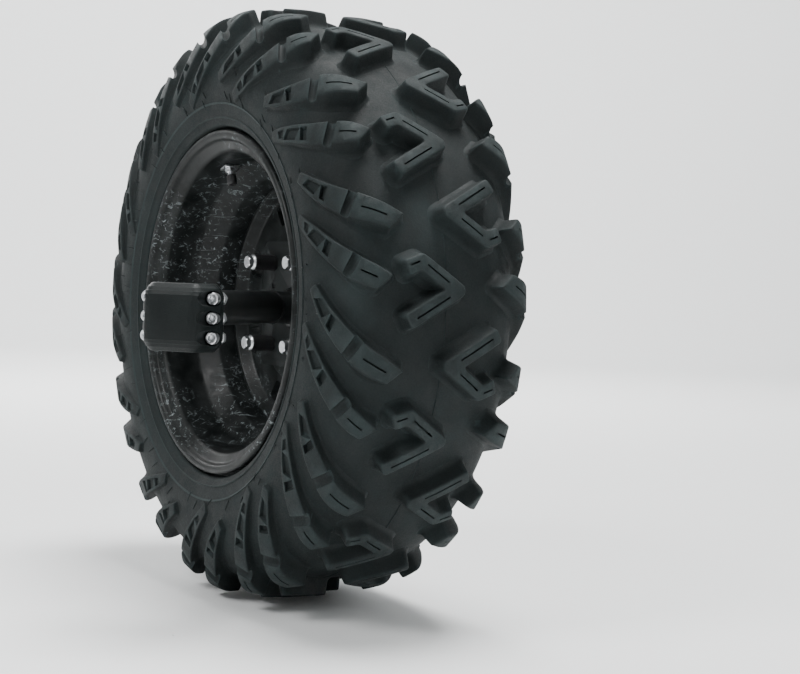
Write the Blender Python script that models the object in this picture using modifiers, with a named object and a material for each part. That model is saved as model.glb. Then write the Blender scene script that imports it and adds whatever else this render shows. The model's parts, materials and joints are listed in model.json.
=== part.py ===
"""Clamp-on spare tire carrier for a two-inch roll cage tube, with its spare wheel.

Frame: metres, +Z up along the cage tube, origin at the middle of the clamp bore,
+Y from the clamp along the arm, +X to the right seen from the front of the clamp.
"""
import math

import bmesh
import bpy
from mathutils import Matrix, Vector

# Driving dimensions (metres) --------------------------------------------------
GAP = 0.0003                 # running gap between touching pieces
CAGE_TUBE_D = 0.0508         # two-inch cage tube, which the clamp grips

CLAMP_WIDTH = 0.085
CLAMP_HEIGHT = 0.070
CLAMP_HALF_DEPTH = 0.035     # split plane to the front or rear face
CLAMP_FACE_WIDTH = 0.060     # flat face between the two sloping flanks
CLAMP_EDGE_BEVEL = 0.009     # stepped bevel along the top and bottom edges
CLAMP_SHOULDER = 0.004       # straight side next to the split plane
CLAMP_CORNER = (0.005, 0.0045)   # cut between flank and face, across and deep
SPLIT_GAP = 0.001            # space between the tightened halves
SCREW_X = 0.0365             # screw rows, left and right of the bore
SCREW_PITCH = 0.020
SCREW_D = 0.008
SCREW_HEAD_D = 0.013
SCREW_HEAD_H = 0.008
SCREW_SEAT = 0.0045          # head seat and nut seat, measured from the split plane
SCREW_SOCKET = 0.006
SCREW_SOCKET_DEPTH = 0.004
COUNTERBORE_D = 0.0155
NUT_POCKET_D = 0.017
NUT_ACROSS_FLATS = 0.013
NUT_H = 0.0068

ARM_D = 0.0381
ARM_WALL = 0.0032
ARM_LENGTH = 0.244           # bore axis to the bend
ARM_RISE = 0.009             # arm axis above the middle of the clamp
ARM_BEND = math.radians(41)  # arm to wheel axis
WELD_LEG = 0.005

# Wheel axis: w is measured from the bend, outwards along the axis
WHEEL_RISE = 0.013           # wheel centre above the middle of the clamp
PLATE_SIZE = 0.150
PLATE_THICKNESS = 0.006
PLATE_FRONT_W = 0.0275
PLATE_CORNER = 0.014
PLATE_BOLT_HOLE_D = 0.0108
PLATE_SPARE_HOLE_D = 0.009
PLATE_SPARE_HOLES = (0.048, 0.022)   # half spacing, across and down
BOLT_CIRCLE = 0.137
BOLT_D = 0.010
BOLT_FLANGE_D = 0.0190
BOLT_FLANGE_H = 0.002
BOLT_HEX = 0.014
BOLT_HEAD_H = 0.0065
BOLT_PAST_LUG = -0.004       # bolt end against the outer end of its lug nut
SPACER_D = 0.019
SPACER_LENGTH = 0.028
SPACER_BORE_D = 0.0106
LUG_HEX = 0.017
LUG_H = 0.018
LUG_CONE_H = 0.006
LUG_CONE_D = 0.0225
LUG_BORE_D = 0.0104

LIP_NEAR_W = -0.0755         # near rim lip
RIM_WIDTH = 0.217            # over the two lips, for an eight-inch rim
RIM_LIP_R = 0.1985
HUB_FACE_W = PLATE_FRONT_W + PLATE_THICKNESS + GAP
DISC_THICKNESS = 0.016
HUB_BORE_R = 0.055
STUD_HOLE_D = 0.0125
WINDOW_COUNT = 8
WINDOW_R = 0.118
WINDOW_DEEP = 0.026          # window, along the radius
WINDOW_NARROW = 0.024        # window, across its hub end and its rim end
WINDOW_WIDE = 0.036
PAD_R = 0.093                # hub pad
DROP_R = 0.149               # inner face of the drop centre
RIM_WALL = 0.005
SEAT_WIDTH = 0.055           # lip to the end of the bead seat
SEAT_END_R = (0.1720, 0.1770)    # inner and outer radius there
DISC_STAND = 0.010           # depth of the disc's welded edge, inboard of the hub pad
DISC_LIP = 0.006             # and outboard of its outer face

TIRE_R = 0.3425
TIRE_HALF_WIDTH = 0.1205
BEAD_R = 0.1795
SHOULDER_R = 0.275           # where the sidewalls meet the tread ring
SHOULDER_W = (0.0998, 0.1179)    # inner and outer face there, from the tire's middle

VALVE_ANGLE = math.radians(110)   # from across towards the top
VALVE_WALL_R = 0.1721        # inner face of the barrel where the valve goes through
VALVE_W = -0.031
VALVE_STEM_D = 0.0082
VALVE_REACH = 0.020          # stem end to the barrel wall
VALVE_FLANGE = (0.014, 0.0058, 0.0075)   # diameter, near face and far face behind the wall
VALVE_NUT = 0.012
VALVE_NUT_H = 0.005
VALVE_PLATE = (0.015, 0.020, 0.002)
VALVE_PLATE_LIFT = 0.0014    # flat plate over the curved wall
VALVE_CAP_BASE = 0.0085      # cap end above the nut's base
VALVE_CAP_PAST = 0.004       # cap top past the stem end
VALVE_CAP_WALL = 0.0014

CIRCLE_STEPS = 48
FASTENER_STEPS = 24
DRILL_STEPS = 20
CHAMFER = 0.001
WELD_DISTANCE = 0.00001      # closer points are one point


# Helpers ----------------------------------------------------------------------
def clear_scene():
    for old in list(bpy.data.objects):
        bpy.data.objects.remove(old, do_unlink=True)


def new_collection(name):
    made = bpy.data.collections.new(name)
    bpy.context.scene.collection.children.link(made)
    return made


def material(name, colour, roughness, metallic):
    made = bpy.data.materials.new(name)
    made.use_nodes = True
    shader = made.node_tree.nodes["Principled BSDF"]
    shader.inputs["Base Color"].default_value = (*colour, 1.0)
    shader.inputs["Roughness"].default_value = roughness
    shader.inputs["Metallic"].default_value = metallic
    return made


def frame_empty(name, location, rotation):
    made = bpy.data.objects.new(name, None)
    made.location = location
    made.rotation_euler = rotation
    PARTS.objects.link(made)
    bpy.context.view_layer.update()
    return made


def add_object(name, mesh, mat, parent=None, location=(0, 0, 0), rotation=(0, 0, 0)):
    made = bpy.data.objects.new(name, mesh)
    if mat is not None and not mesh.materials:
        mesh.materials.append(mat)
    made.location = location
    made.rotation_euler = rotation
    made.parent = parent
    PARTS.objects.link(made)
    return made


def as_cutter(thing):
    PARTS.objects.unlink(thing)
    CUTTERS.objects.link(thing)
    thing.hide_render = True
    thing.display_type = "WIRE"
    return thing


def cut(target, cutter):
    modifier = target.modifiers.new("cut " + cutter.name, "BOOLEAN")
    modifier.operation = "DIFFERENCE"
    modifier.solver = "EXACT"
    modifier.object = cutter


def smooth(mesh, angle=math.radians(35)):
    mesh.shade_smooth()
    mesh.set_sharp_from_angle(angle=angle)


def mesh_from(bm, name):
    bmesh.ops.recalc_face_normals(bm, faces=bm.faces)
    mesh = bpy.data.meshes.new(name)
    bm.to_mesh(mesh)
    bm.free()
    smooth(mesh)
    return mesh


def cylinder_mesh(name, diameter, bottom, top, steps=DRILL_STEPS):
    """A cylinder along z, from bottom to top."""
    bm = bmesh.new()
    bmesh.ops.create_cone(
        bm, cap_ends=True, segments=steps, radius1=diameter / 2, radius2=diameter / 2,
        depth=top - bottom, matrix=Matrix.Translation((0, 0, (top + bottom) / 2)))
    return mesh_from(bm, name)


def hex_radius(across_flats, angle):
    """Distance from a hexagon's middle to its side, at an angle from the middle of a side."""
    sector = (angle + math.pi / 6) % (math.pi / 3) - math.pi / 6
    return across_flats / 2 / math.cos(sector)


def stacked_mesh(name, levels, steps=FASTENER_STEPS, hollow=False):
    """Rings of (shape, size, height) along z joined into one body.

    A "round" ring's size is its diameter and a "hex" ring's is its width across flats.
    A hollow body joins its last ring to its first, and a solid one is capped.
    """
    bm = bmesh.new()
    rings = []
    for shape, size, height in levels:
        ring = []
        for step in range(steps):
            angle = math.tau * step / steps
            radius = hex_radius(size, angle) if shape == "hex" else size / 2
            point = (radius * math.cos(angle), radius * math.sin(angle), height)
            ring.append(bm.verts.new(point))
        rings.append(ring)
    following = rings[1:] + rings[:1] if hollow else rings[1:]
    for lower, upper in zip(rings, following):
        for step in range(steps):
            after = (step + 1) % steps
            bm.faces.new((lower[step], lower[after], upper[after], upper[step]))
    if not hollow:
        bm.faces.new(rings[0])
        bm.faces.new(rings[-1])
    return mesh_from(bm, name)


def sleeve_mesh(name, shape, size, bore, bottom, top):
    """A round or hexagonal sleeve along z."""
    levels = [(shape, size, bottom), (shape, size, top), ("round", bore, top),
              ("round", bore, bottom)]
    return stacked_mesh(name, levels, hollow=True)


def drill(diameter, bottom, top, parent=None, location=(0, 0, 0), rotation=(0, 0, 0)):
    """A round cutter along its own z."""
    mesh = cylinder_mesh("drill", diameter, bottom, top)
    return as_cutter(add_object("drill", mesh, None, parent, location, rotation))


def turned(name, profile, mat, parent, steps=CIRCLE_STEPS):
    """A closed profile of (radius, height) turned about z."""
    bm = bmesh.new()
    points = [bm.verts.new((radius, 0, height)) for radius, height in profile]
    for first, second in zip(points, points[1:] + points[:1]):
        bm.edges.new((first, second))
    mesh = bpy.data.meshes.new(name)
    bm.to_mesh(mesh)
    bm.free()
    made = add_object(name, mesh, mat, parent)
    screw = made.modifiers.new("turn", "SCREW")
    screw.steps = steps
    screw.render_steps = steps
    screw.use_merge_vertices = True
    screw.merge_threshold = WELD_DISTANCE
    screw.use_normal_calculate = True
    return made


def evaluated_mesh(thing):
    """The mesh that an object's curve or modifiers make, welded, with its faces pointing out."""
    bpy.context.view_layer.update()
    graph = bpy.context.evaluated_depsgraph_get()
    mesh = bpy.data.meshes.new_from_object(thing.evaluated_get(graph))
    bm = bmesh.new()
    bm.from_mesh(mesh)
    bmesh.ops.remove_doubles(bm, verts=bm.verts, dist=WELD_DISTANCE)
    bmesh.ops.recalc_face_normals(bm, faces=bm.faces)
    bm.to_mesh(mesh)
    bm.free()
    smooth(mesh)
    return mesh


def applied(thing):
    """Replace an object's mesh with its evaluated mesh."""
    mesh = evaluated_mesh(thing)
    thing.modifiers.clear()
    thing.data = mesh
    return thing


def tube_object(name, points, diameter, mat, steps):
    """A round bar along a polyline, as a mesh with welded caps."""
    curve = bpy.data.curves.new(name, "CURVE")
    curve.dimensions = "3D"
    curve.bevel_depth = diameter / 2
    curve.bevel_resolution = steps
    curve.use_fill_caps = True
    spline = curve.splines.new("POLY")
    spline.points.add(len(points) - 1)
    for place, point in zip(spline.points, points):
        place.co = (*point, 1)
    source = bpy.data.objects.new(name + " path", curve)
    PARTS.objects.link(source)
    mesh = evaluated_mesh(source)
    bpy.data.objects.remove(source, do_unlink=True)
    mesh.materials.clear()
    return add_object(name, mesh, mat)


def prism_mesh(name, outline, bottom, top, bevel_edges=None):
    """A flat outline of (x, y) stretched along z; bevel_edges picks rim edges by their middle."""
    bm = bmesh.new()
    face = bm.faces.new([bm.verts.new((x, y, bottom)) for x, y in outline])
    stretched = bmesh.ops.extrude_face_region(bm, geom=[face])
    raised = [item for item in stretched["geom"] if isinstance(item, bmesh.types.BMVert)]
    bmesh.ops.translate(bm, verts=raised, vec=(0, 0, top - bottom))
    if bevel_edges is not None:
        weights = bm.edges.layers.float.new("bevel_weight_edge")
        for edge in bm.edges:
            start, end = (vert.co for vert in edge.verts)
            level = abs(start.z - end.z) < 1e-6
            edge[weights] = 1.0 if level and bevel_edges((start + end) / 2) else 0.0
    return mesh_from(bm, name)


def bolt_positions():
    """The four wheel bolts, as (x, y) about the wheel axis."""
    half = BOLT_CIRCLE / 2 / math.sqrt(2)
    return [(-half, -half), (half, -half), (half, half), (-half, half)]


# Clamp ------------------------------------------------------------------------
def clamp_outline(side):
    """Plan of one half; side is -1 for the front half and 1 for the rear half."""
    half_width = CLAMP_WIDTH / 2
    half_face = CLAMP_FACE_WIDTH / 2
    corner_across, corner_deep = CLAMP_CORNER
    flank_x = half_face + corner_across * 0.6
    face_x = half_face - corner_across * 0.4
    flank_y = CLAMP_HALF_DEPTH - corner_deep
    bore = CAGE_TUBE_D / 2 + GAP
    split = SPLIT_GAP / 2
    start = math.asin(split / bore)
    steps = 16
    angles = [start + (math.pi - 2 * start) * step / steps for step in range(steps + 1)]
    arc = [(bore * math.cos(angle), side * bore * math.sin(angle)) for angle in angles]
    outer = [
        (-half_width, side * split),
        (-half_width, side * CLAMP_SHOULDER),
        (-flank_x, side * flank_y),
        (-face_x, side * CLAMP_HALF_DEPTH),
        (face_x, side * CLAMP_HALF_DEPTH),
        (flank_x, side * flank_y),
        (half_width, side * CLAMP_SHOULDER),
        (half_width, side * split),
    ]
    return arc + outer


def build_clamp_half(name, side, mat):
    half_height = CLAMP_HEIGHT / 2
    outline = clamp_outline(side)

    def on_outer_edge(middle):
        outside = math.hypot(middle.x, middle.y) > CAGE_TUBE_D / 2 + 10 * GAP
        return outside and abs(middle.y) > SPLIT_GAP

    mesh = prism_mesh(name, outline, -half_height, half_height, on_outer_edge)
    half = add_object(name, mesh, mat, CLAMP_CAP_FRAME if side < 0 else None)
    bevel = half.modifiers.new("stepped edge", "BEVEL")
    bevel.limit_method = "WEIGHT"
    bevel.width = CLAMP_EDGE_BEVEL
    bevel.segments = 3
    bevel.use_clamp_overlap = False
    seat_d = COUNTERBORE_D if side < 0 else NUT_POCKET_D
    for x in (-SCREW_X, SCREW_X):
        for row in (-1, 0, 1):
            place = (x, 0, row * SCREW_PITCH)
            hole = drill(SCREW_D + 2 * GAP, -CLAMP_HEIGHT, CLAMP_HEIGHT, None, place,
                         (-math.pi / 2, 0, 0))
            seat = drill(seat_d, SCREW_SEAT, CLAMP_HEIGHT, None, place,
                         (-side * math.pi / 2, 0, 0))
            cut(half, hole)
            cut(half, seat)
    return half


def screw_mesh():
    """Socket head cap screw along z, with its head seat SCREW_SEAT short of the origin."""
    seat = -SCREW_SEAT - GAP
    top = seat - SCREW_HEAD_H
    tip = SCREW_SEAT + NUT_H + 0.003
    levels = [("round", SCREW_HEAD_D - 2 * CHAMFER, top),
              ("round", SCREW_HEAD_D, top + CHAMFER),
              ("round", SCREW_HEAD_D, seat),
              ("round", SCREW_D, seat),
              ("round", SCREW_D, tip - CHAMFER),
              ("round", SCREW_D - 2 * CHAMFER, tip)]
    body = as_cutter(add_object("socket host", stacked_mesh("clamp_screw", levels), None))
    socket_levels = [("hex", SCREW_SOCKET, top - CHAMFER),
                     ("hex", SCREW_SOCKET, top + SCREW_SOCKET_DEPTH)]
    cut(body, as_cutter(add_object("socket", stacked_mesh("socket", socket_levels), None)))
    return applied(body).data


def build_clamp_fasteners(zinc):
    screw = screw_mesh()
    screw.materials.append(zinc)
    nut = sleeve_mesh("clamp_nut", "hex", NUT_ACROSS_FLATS, SCREW_D + 2 * GAP,
                      SCREW_SEAT + GAP, SCREW_SEAT + GAP + NUT_H)
    nut.materials.append(zinc)
    for side, x in (("left", -SCREW_X), ("right", SCREW_X)):
        for number, row in enumerate((1, 0, -1), start=1):
            place = (x, 0, row * SCREW_PITCH)
            turn = (-math.pi / 2, 0, 0)
            add_object(f"clamp_screw_{side}_{number}", screw, zinc, CLAMP_CAP_FRAME, place, turn)
            add_object(f"clamp_nut_{side}_{number}", nut, zinc, None, place, turn)


# Arm and plate ----------------------------------------------------------------
def wheel_point(across, down, outward):
    """World point from wheel coordinates: across, down and outward along the axis."""
    return Vector((0, ARM_LENGTH, WHEEL_RISE)) + WHEEL_TURN @ Vector((across, down, outward))


def valve_rotation():
    """Turn that takes z from the barrel wall towards the wheel axis, and y along that axis."""
    inward = WHEEL_TURN @ Vector((-math.cos(VALVE_ANGLE), math.sin(VALVE_ANGLE), 0))
    along = WHEEL_TURN @ Vector((0, 0, 1))
    sideways = along.cross(inward)
    return Matrix((sideways, along, inward)).transposed().to_euler()


def build_arm(steel):
    start = Vector((0, CLAMP_HALF_DEPTH + GAP, ARM_RISE))
    bend = Vector((0, ARM_LENGTH, ARM_RISE))
    outward = WHEEL_TURN @ Vector((0, 0, 1))
    end = bend + outward * (PLATE_FRONT_W - GAP)
    past = Vector((0, ARM_D / 4, 0))
    arm = tube_object("arm_tube", [start, bend, end], ARM_D, steel, 6)
    bore = tube_object("arm bore", [start - past, bend, end + outward * past.length],
                       ARM_D - 2 * ARM_WALL, None, 4)
    cut(arm, as_cutter(bore))
    applied(arm)


def weld_profile(face, rising):
    """Section of a bead round the arm against a face at that height, (radius, height)."""
    inner = ARM_D / 2 + GAP
    leg = WELD_LEG if rising else -WELD_LEG
    hollow = 0.44                # middle of the bead's slope, just inside the straight line
    return [(inner, face + leg), (inner + WELD_LEG * 0.55, face + leg * hollow),
            (inner + WELD_LEG, face), (inner, face)]


def build_welds(steel):
    clamp_side = frame_empty("arm_foot", (0, CLAMP_HALF_DEPTH, ARM_RISE), (-math.pi / 2, 0, 0))
    plate_side = frame_empty("arm_end", (0, ARM_LENGTH, ARM_RISE), WHEEL_ROTATION)
    applied(turned("arm_weld_clamp", weld_profile(GAP, True), steel, clamp_side))
    applied(turned("arm_weld_plate", weld_profile(PLATE_FRONT_W - GAP, False), steel, plate_side))


def rounded_square(size, corner, steps=5):
    half = size / 2 - corner
    points = []
    for quarter, (x, y) in enumerate(((half, half), (-half, half), (-half, -half), (half, -half))):
        for step in range(steps + 1):
            angle = math.pi / 2 * (quarter + step / steps)
            points.append((x + corner * math.cos(angle), y + corner * math.sin(angle)))
    return points


def build_plate(steel):
    outline = rounded_square(PLATE_SIZE, PLATE_CORNER)
    mesh = prism_mesh("wheel_plate", outline, PLATE_FRONT_W, PLATE_FRONT_W + PLATE_THICKNESS)
    plate = add_object("wheel_plate", mesh, steel, WHEEL_FRAME)
    spare_x, spare_y = PLATE_SPARE_HOLES
    holes = [(x, y, PLATE_BOLT_HOLE_D) for x, y in bolt_positions()]
    holes += [(x, y, PLATE_SPARE_HOLE_D) for x in (-spare_x, spare_x) for y in (-spare_y, spare_y)]
    for x, y, diameter in holes:
        cut(plate, drill(diameter, 0, 2 * PLATE_FRONT_W, WHEEL_FRAME, (x, y, 0)))


def bolt_mesh():
    """Flange bolt along z, with its head at the near end."""
    seat = PLATE_FRONT_W - 2 * GAP - SPACER_LENGTH
    flange = seat - BOLT_FLANGE_H
    head = flange - BOLT_HEAD_H
    tip = HUB_FACE_W + DISC_THICKNESS + LUG_CONE_H + LUG_H + BOLT_PAST_LUG
    levels = [("hex", BOLT_HEX - CHAMFER, head), ("hex", BOLT_HEX, head + 0.7 * CHAMFER),
              ("hex", BOLT_HEX, flange - GAP),
              ("round", BOLT_FLANGE_D - CHAMFER, flange),
              ("round", BOLT_FLANGE_D, flange + 0.8 * CHAMFER),
              ("round", BOLT_FLANGE_D, seat),
              ("round", BOLT_D, seat), ("round", BOLT_D, tip - CHAMFER),
              ("round", BOLT_D - 2 * CHAMFER, tip)]
    return stacked_mesh("wheel_bolt", levels)


def lug_mesh():
    """Cone-seat lug nut along z with a through hole, seated on the wheel disc."""
    seat = HUB_FACE_W + DISC_THICKNESS + GAP
    shoulder = seat + LUG_CONE_H
    end = shoulder + LUG_H
    levels = [("round", LUG_BORE_D, seat), ("round", LUG_CONE_D - LUG_CONE_H, seat),
              ("round", LUG_CONE_D, seat + LUG_CONE_H / 2),
              ("hex", LUG_HEX, shoulder), ("hex", LUG_HEX, end - CHAMFER),
              ("hex", LUG_HEX - 2 * CHAMFER, end), ("round", LUG_BORE_D, end)]
    return stacked_mesh("lug_nut", levels, hollow=True)


def build_wheel_fasteners(zinc, black):
    bolt = bolt_mesh()
    bolt.materials.append(zinc)
    lug = lug_mesh()
    lug.materials.append(zinc)
    spacer = sleeve_mesh("spacer", "round", SPACER_D, SPACER_BORE_D,
                         PLATE_FRONT_W - GAP - SPACER_LENGTH, PLATE_FRONT_W - GAP)
    spacer.materials.append(black)
    for number, (x, y) in enumerate(bolt_positions(), start=1):
        add_object(f"wheel_bolt_{number}", bolt, zinc, WHEEL_FRAME, (x, y, 0))
        add_object(f"spacer_{number}", spacer, black, WHEEL_FRAME, (x, y, 0))
        add_object(f"lug_nut_{number}", lug, zinc, WHEEL_FRAME, (x, y, 0))


# Wheel and tire ---------------------------------------------------------------
def seat_profile(lip_w, towards):
    """One end of the rim barrel, (radius, w): flange and bead seat.

    lip_w is where its lip is and towards is 1 or -1, from the lip to the middle.
    """
    lip = RIM_LIP_R
    inner_r, outer_r = SEAT_END_R
    end = SEAT_WIDTH - GAP / 2
    section = [(lip - 0.003, 0), (lip, 0.003), (lip - 0.001, 0.008), (0.1825, 0.012),
               (0.1785, 0.016), (outer_r, end), (inner_r, end), (0.1735, 0.014),
               (0.1800, 0.0085), (0.1860, 0.004), (0.1895, 0.0005)]
    return [(radius, lip_w + towards * step) for radius, step in section]


def drop_profile():
    """The drop centre between the two bead seats, (radius, w)."""
    middle = LIP_NEAR_W + RIM_WIDTH / 2
    end = RIM_WIDTH / 2 - SEAT_WIDTH - GAP / 2
    inner_r, outer_r = SEAT_END_R
    outer = [(outer_r, end), (DROP_R + RIM_WALL, end - 0.019)]
    inner = [(inner_r, end), (DROP_R, end - 0.022)]
    section = [(radius, middle + step) for radius, step in outer]
    section += [(radius, middle - step) for radius, step in reversed(outer)]
    section += [(radius, middle - step) for radius, step in inner]
    section += [(radius, middle + step) for radius, step in reversed(inner)]
    return section


def disc_profile():
    """Wheel centre: hub pad, dish and the edge that is welded into the barrel, (radius, w)."""
    edge = DROP_R - 2 * GAP
    back = HUB_FACE_W
    front = HUB_FACE_W + DISC_THICKNESS
    dish = back + 0.004
    return [(edge, front + DISC_LIP), (edge, back - DISC_STAND),
            (edge - 0.006, back - DISC_STAND), (edge - 0.010, dish), (PAD_R + 0.003, dish),
            (PAD_R, back), (HUB_BORE_R, back), (HUB_BORE_R, front), (PAD_R + 0.003, front),
            (edge - 0.008, front + DISC_LIP)]


def window_outline():
    """One window of the disc, wider towards the rim."""
    deep, narrow, wide = WINDOW_DEEP / 2, WINDOW_NARROW / 2, WINDOW_WIDE / 2
    return [(-deep, -narrow), (deep, -wide), (deep, wide), (-deep, narrow)]


def build_wheel(mat):
    near = turned("wheel_barrel_near", seat_profile(LIP_NEAR_W, 1), mat, WHEEL_FRAME)
    cut(applied(near), drill(VALVE_STEM_D + 2 * GAP, -VALVE_REACH, VALVE_REACH, VALVE_FRAME))
    applied(turned("wheel_barrel_drop", drop_profile(), mat, WHEEL_FRAME))
    applied(turned("wheel_barrel_far", seat_profile(LIP_NEAR_W + RIM_WIDTH, -1), mat, WHEEL_FRAME))
    disc = applied(turned("wheel_disc", disc_profile(), mat, WHEEL_FRAME))
    outline = window_outline()
    for index in range(WINDOW_COUNT):
        angle = math.tau * (index + 0.5) / WINDOW_COUNT
        mesh = prism_mesh("window", outline, 0, 2 * (HUB_FACE_W + DISC_THICKNESS))
        place = (WINDOW_R * math.cos(angle), WINDOW_R * math.sin(angle), 0)
        window = add_object("window", mesh, None, WHEEL_FRAME, place, (0, 0, angle))
        cut(disc, as_cutter(window))
    for x, y in bolt_positions():
        cut(disc, drill(STUD_HOLE_D, 0, 2 * (HUB_FACE_W + DISC_THICKNESS), WHEEL_FRAME, (x, y, 0)))


def sidewall_profile(side):
    """Bead and sidewall, (radius, w); side is -1 for the near one and 1 for the far one."""
    middle = LIP_NEAR_W + RIM_WIDTH / 2
    inner_w, outer_w = SHOULDER_W
    shoulder = SHOULDER_R - GAP / 2
    section = [(BEAD_R, 0.0915), (0.2035, 0.0985), (0.2120, 0.1120), (0.2350, 0.1190),
               (0.2560, TIRE_HALF_WIDTH), (shoulder, outer_w), (shoulder, inner_w),
               (0.2600, 0.1080), (0.2200, 0.1000), (BEAD_R, 0.0720)]
    return [(radius, middle + side * offset) for radius, offset in section]


def tread_profile():
    """Ring between the two sidewalls, out to the tops of the lugs, (radius, w)."""
    middle = LIP_NEAR_W + RIM_WIDTH / 2
    inner_w, outer_w = SHOULDER_W
    shoulder = SHOULDER_R + GAP / 2
    outer = [(shoulder, outer_w), (0.2820, 0.1170), (0.3060, 0.1080), (0.3250, 0.0990),
             (0.3370, 0.0860), (0.3405, 0.0600), (TIRE_R, 0.0250)]
    inner = [(0.3190, 0.0500), (0.3040, 0.0840), (shoulder, inner_w)]
    section = [(radius, middle + offset) for radius, offset in outer]
    section += [(radius, middle - offset) for radius, offset in reversed(outer)]
    section += [(radius, middle - offset) for radius, offset in reversed(inner)]
    section += [(radius, middle + offset) for radius, offset in inner]
    return section


def build_tire(mat):
    applied(turned("tire_tread", tread_profile(), mat, WHEEL_FRAME))
    applied(turned("tire_sidewall_near", sidewall_profile(-1), mat, WHEEL_FRAME))
    applied(turned("tire_sidewall_far", sidewall_profile(1), mat, WHEEL_FRAME))


def build_valve(metal, black):
    """Clamp-in valve; z runs from the barrel wall towards the wheel axis."""
    wide, tall, thick = VALVE_PLATE
    flange_d, flange_near, flange_far = VALVE_FLANGE
    stem_r = VALVE_STEM_D / 2
    bore_d = VALVE_STEM_D + 2 * GAP
    outline = [(0, -flange_far), (flange_d / 2, -flange_far), (flange_d / 2, -flange_near),
               (stem_r, -flange_near + GAP), (stem_r, VALVE_REACH - CHAMFER / 2),
               (stem_r - CHAMFER / 2, VALVE_REACH), (0, VALVE_REACH)]
    applied(turned("valve_stem", outline, metal, VALVE_FRAME, DRILL_STEPS))
    plate_top = VALVE_PLATE_LIFT + thick
    plate_outline = [(-wide / 2, -tall / 2), (wide / 2, -tall / 2),
                     (wide / 2, tall / 2), (-wide / 2, tall / 2)]
    plate = add_object("valve_plate", prism_mesh("valve_plate", plate_outline, VALVE_PLATE_LIFT,
                                                 plate_top), metal, VALVE_FRAME)
    cut(plate, drill(bore_d, -VALVE_REACH, VALVE_REACH, VALVE_FRAME))
    nut_base = plate_top + GAP
    add_object("valve_nut", sleeve_mesh("valve_nut", "hex", VALVE_NUT, bore_d, nut_base,
                                        nut_base + VALVE_NUT_H), metal, VALVE_FRAME)
    inner = bore_d / 2
    outer = inner + VALVE_CAP_WALL
    cap_base = nut_base + VALVE_CAP_BASE
    cap_top = VALVE_REACH + VALVE_CAP_PAST
    cap = [(inner, VALVE_REACH + GAP), (0, VALVE_REACH + GAP), (0, cap_top),
           (outer - CHAMFER, cap_top), (outer, cap_top - CHAMFER), (outer, cap_base),
           (inner, cap_base)]
    applied(turned("valve_cap", cap, black, VALVE_FRAME, DRILL_STEPS))


# Assembly ---------------------------------------------------------------------
clear_scene()
PARTS = new_collection("spare_tire_carrier")
CUTTERS = new_collection("cutters")
WHEEL_ROTATION = (-math.pi / 2, 0, -ARM_BEND)
CLAMP_CAP_FRAME = frame_empty("clamp_cap_slide", (0, 0, 0), (0, 0, 0))
WHEEL_FRAME = frame_empty("wheel_axis", (0, ARM_LENGTH, WHEEL_RISE), WHEEL_ROTATION)
WHEEL_TURN = WHEEL_FRAME.matrix_world.to_3x3()
VALVE_FRAME = frame_empty(
    "valve_axis",
    wheel_point(VALVE_WALL_R * math.cos(VALVE_ANGLE), -VALVE_WALL_R * math.sin(VALVE_ANGLE), VALVE_W),
    valve_rotation())

powder_coat = material("black powder coat", (0.018, 0.020, 0.021), 0.38, 0.0)
satin_black = material("satin black steel", (0.014, 0.015, 0.016), 0.45, 0.0)
zinc_plate = material("zinc plate", (0.72, 0.74, 0.76), 0.28, 1.0)
wheel_black = material("black wheel paint", (0.020, 0.022, 0.023), 0.32, 0.3)
rubber = material("tire rubber", (0.030, 0.032, 0.032), 0.82, 0.0)

build_clamp_half("clamp_front", -1, powder_coat)
build_clamp_half("clamp_rear", 1, powder_coat)
build_clamp_fasteners(zinc_plate)
build_arm(satin_black)
build_welds(satin_black)
build_plate(satin_black)
build_wheel_fasteners(zinc_plate, satin_black)
build_wheel(wheel_black)
build_tire(rubber)
build_valve(zinc_plate, satin_black)
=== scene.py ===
"""Looks for the clamp-on spare tire carrier: fine meshes, materials, light and camera round the CAD frame."""
import json
import math
import random

import bmesh
import bpy
import numpy as np
from mathutils import Matrix, Vector


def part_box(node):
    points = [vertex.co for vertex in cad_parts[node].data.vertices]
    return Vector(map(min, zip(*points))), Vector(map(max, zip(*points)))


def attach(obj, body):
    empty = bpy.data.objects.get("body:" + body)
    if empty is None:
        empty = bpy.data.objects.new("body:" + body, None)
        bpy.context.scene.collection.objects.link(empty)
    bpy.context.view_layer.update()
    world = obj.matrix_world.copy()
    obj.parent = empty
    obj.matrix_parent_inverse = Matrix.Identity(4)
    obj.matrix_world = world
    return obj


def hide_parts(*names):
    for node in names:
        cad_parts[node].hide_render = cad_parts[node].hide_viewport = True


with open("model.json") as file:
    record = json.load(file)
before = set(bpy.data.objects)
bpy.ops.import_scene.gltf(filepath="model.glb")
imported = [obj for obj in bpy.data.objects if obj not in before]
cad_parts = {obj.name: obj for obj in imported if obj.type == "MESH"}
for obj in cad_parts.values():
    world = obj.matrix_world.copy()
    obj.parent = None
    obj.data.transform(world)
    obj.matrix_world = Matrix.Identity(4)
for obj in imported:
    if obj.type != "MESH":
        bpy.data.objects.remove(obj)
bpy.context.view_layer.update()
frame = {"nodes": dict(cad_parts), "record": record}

TAU = math.tau

# ---- Places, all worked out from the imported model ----
JOINTS = {joint["name"]: joint for joint in frame["record"]["behaviour"]["joints"]}


def middle(node):
    low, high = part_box(node)
    return (Vector(low) + Vector(high)) / 2


def nodes_like(start):
    """CAD nodes whose names start the same way, for a thing the CAD model has in several rings."""
    return [name for name in sorted(frame["nodes"]) if name.startswith(start)]


def joint_box(names):
    """Lowest and highest corner round several nodes."""
    boxes = [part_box(name) for name in names]
    low = Vector([min(box[0][axis] for box in boxes) for axis in range(3)])
    high = Vector([max(box[1][axis] for box in boxes) for axis in range(3)])
    return low, high


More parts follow.
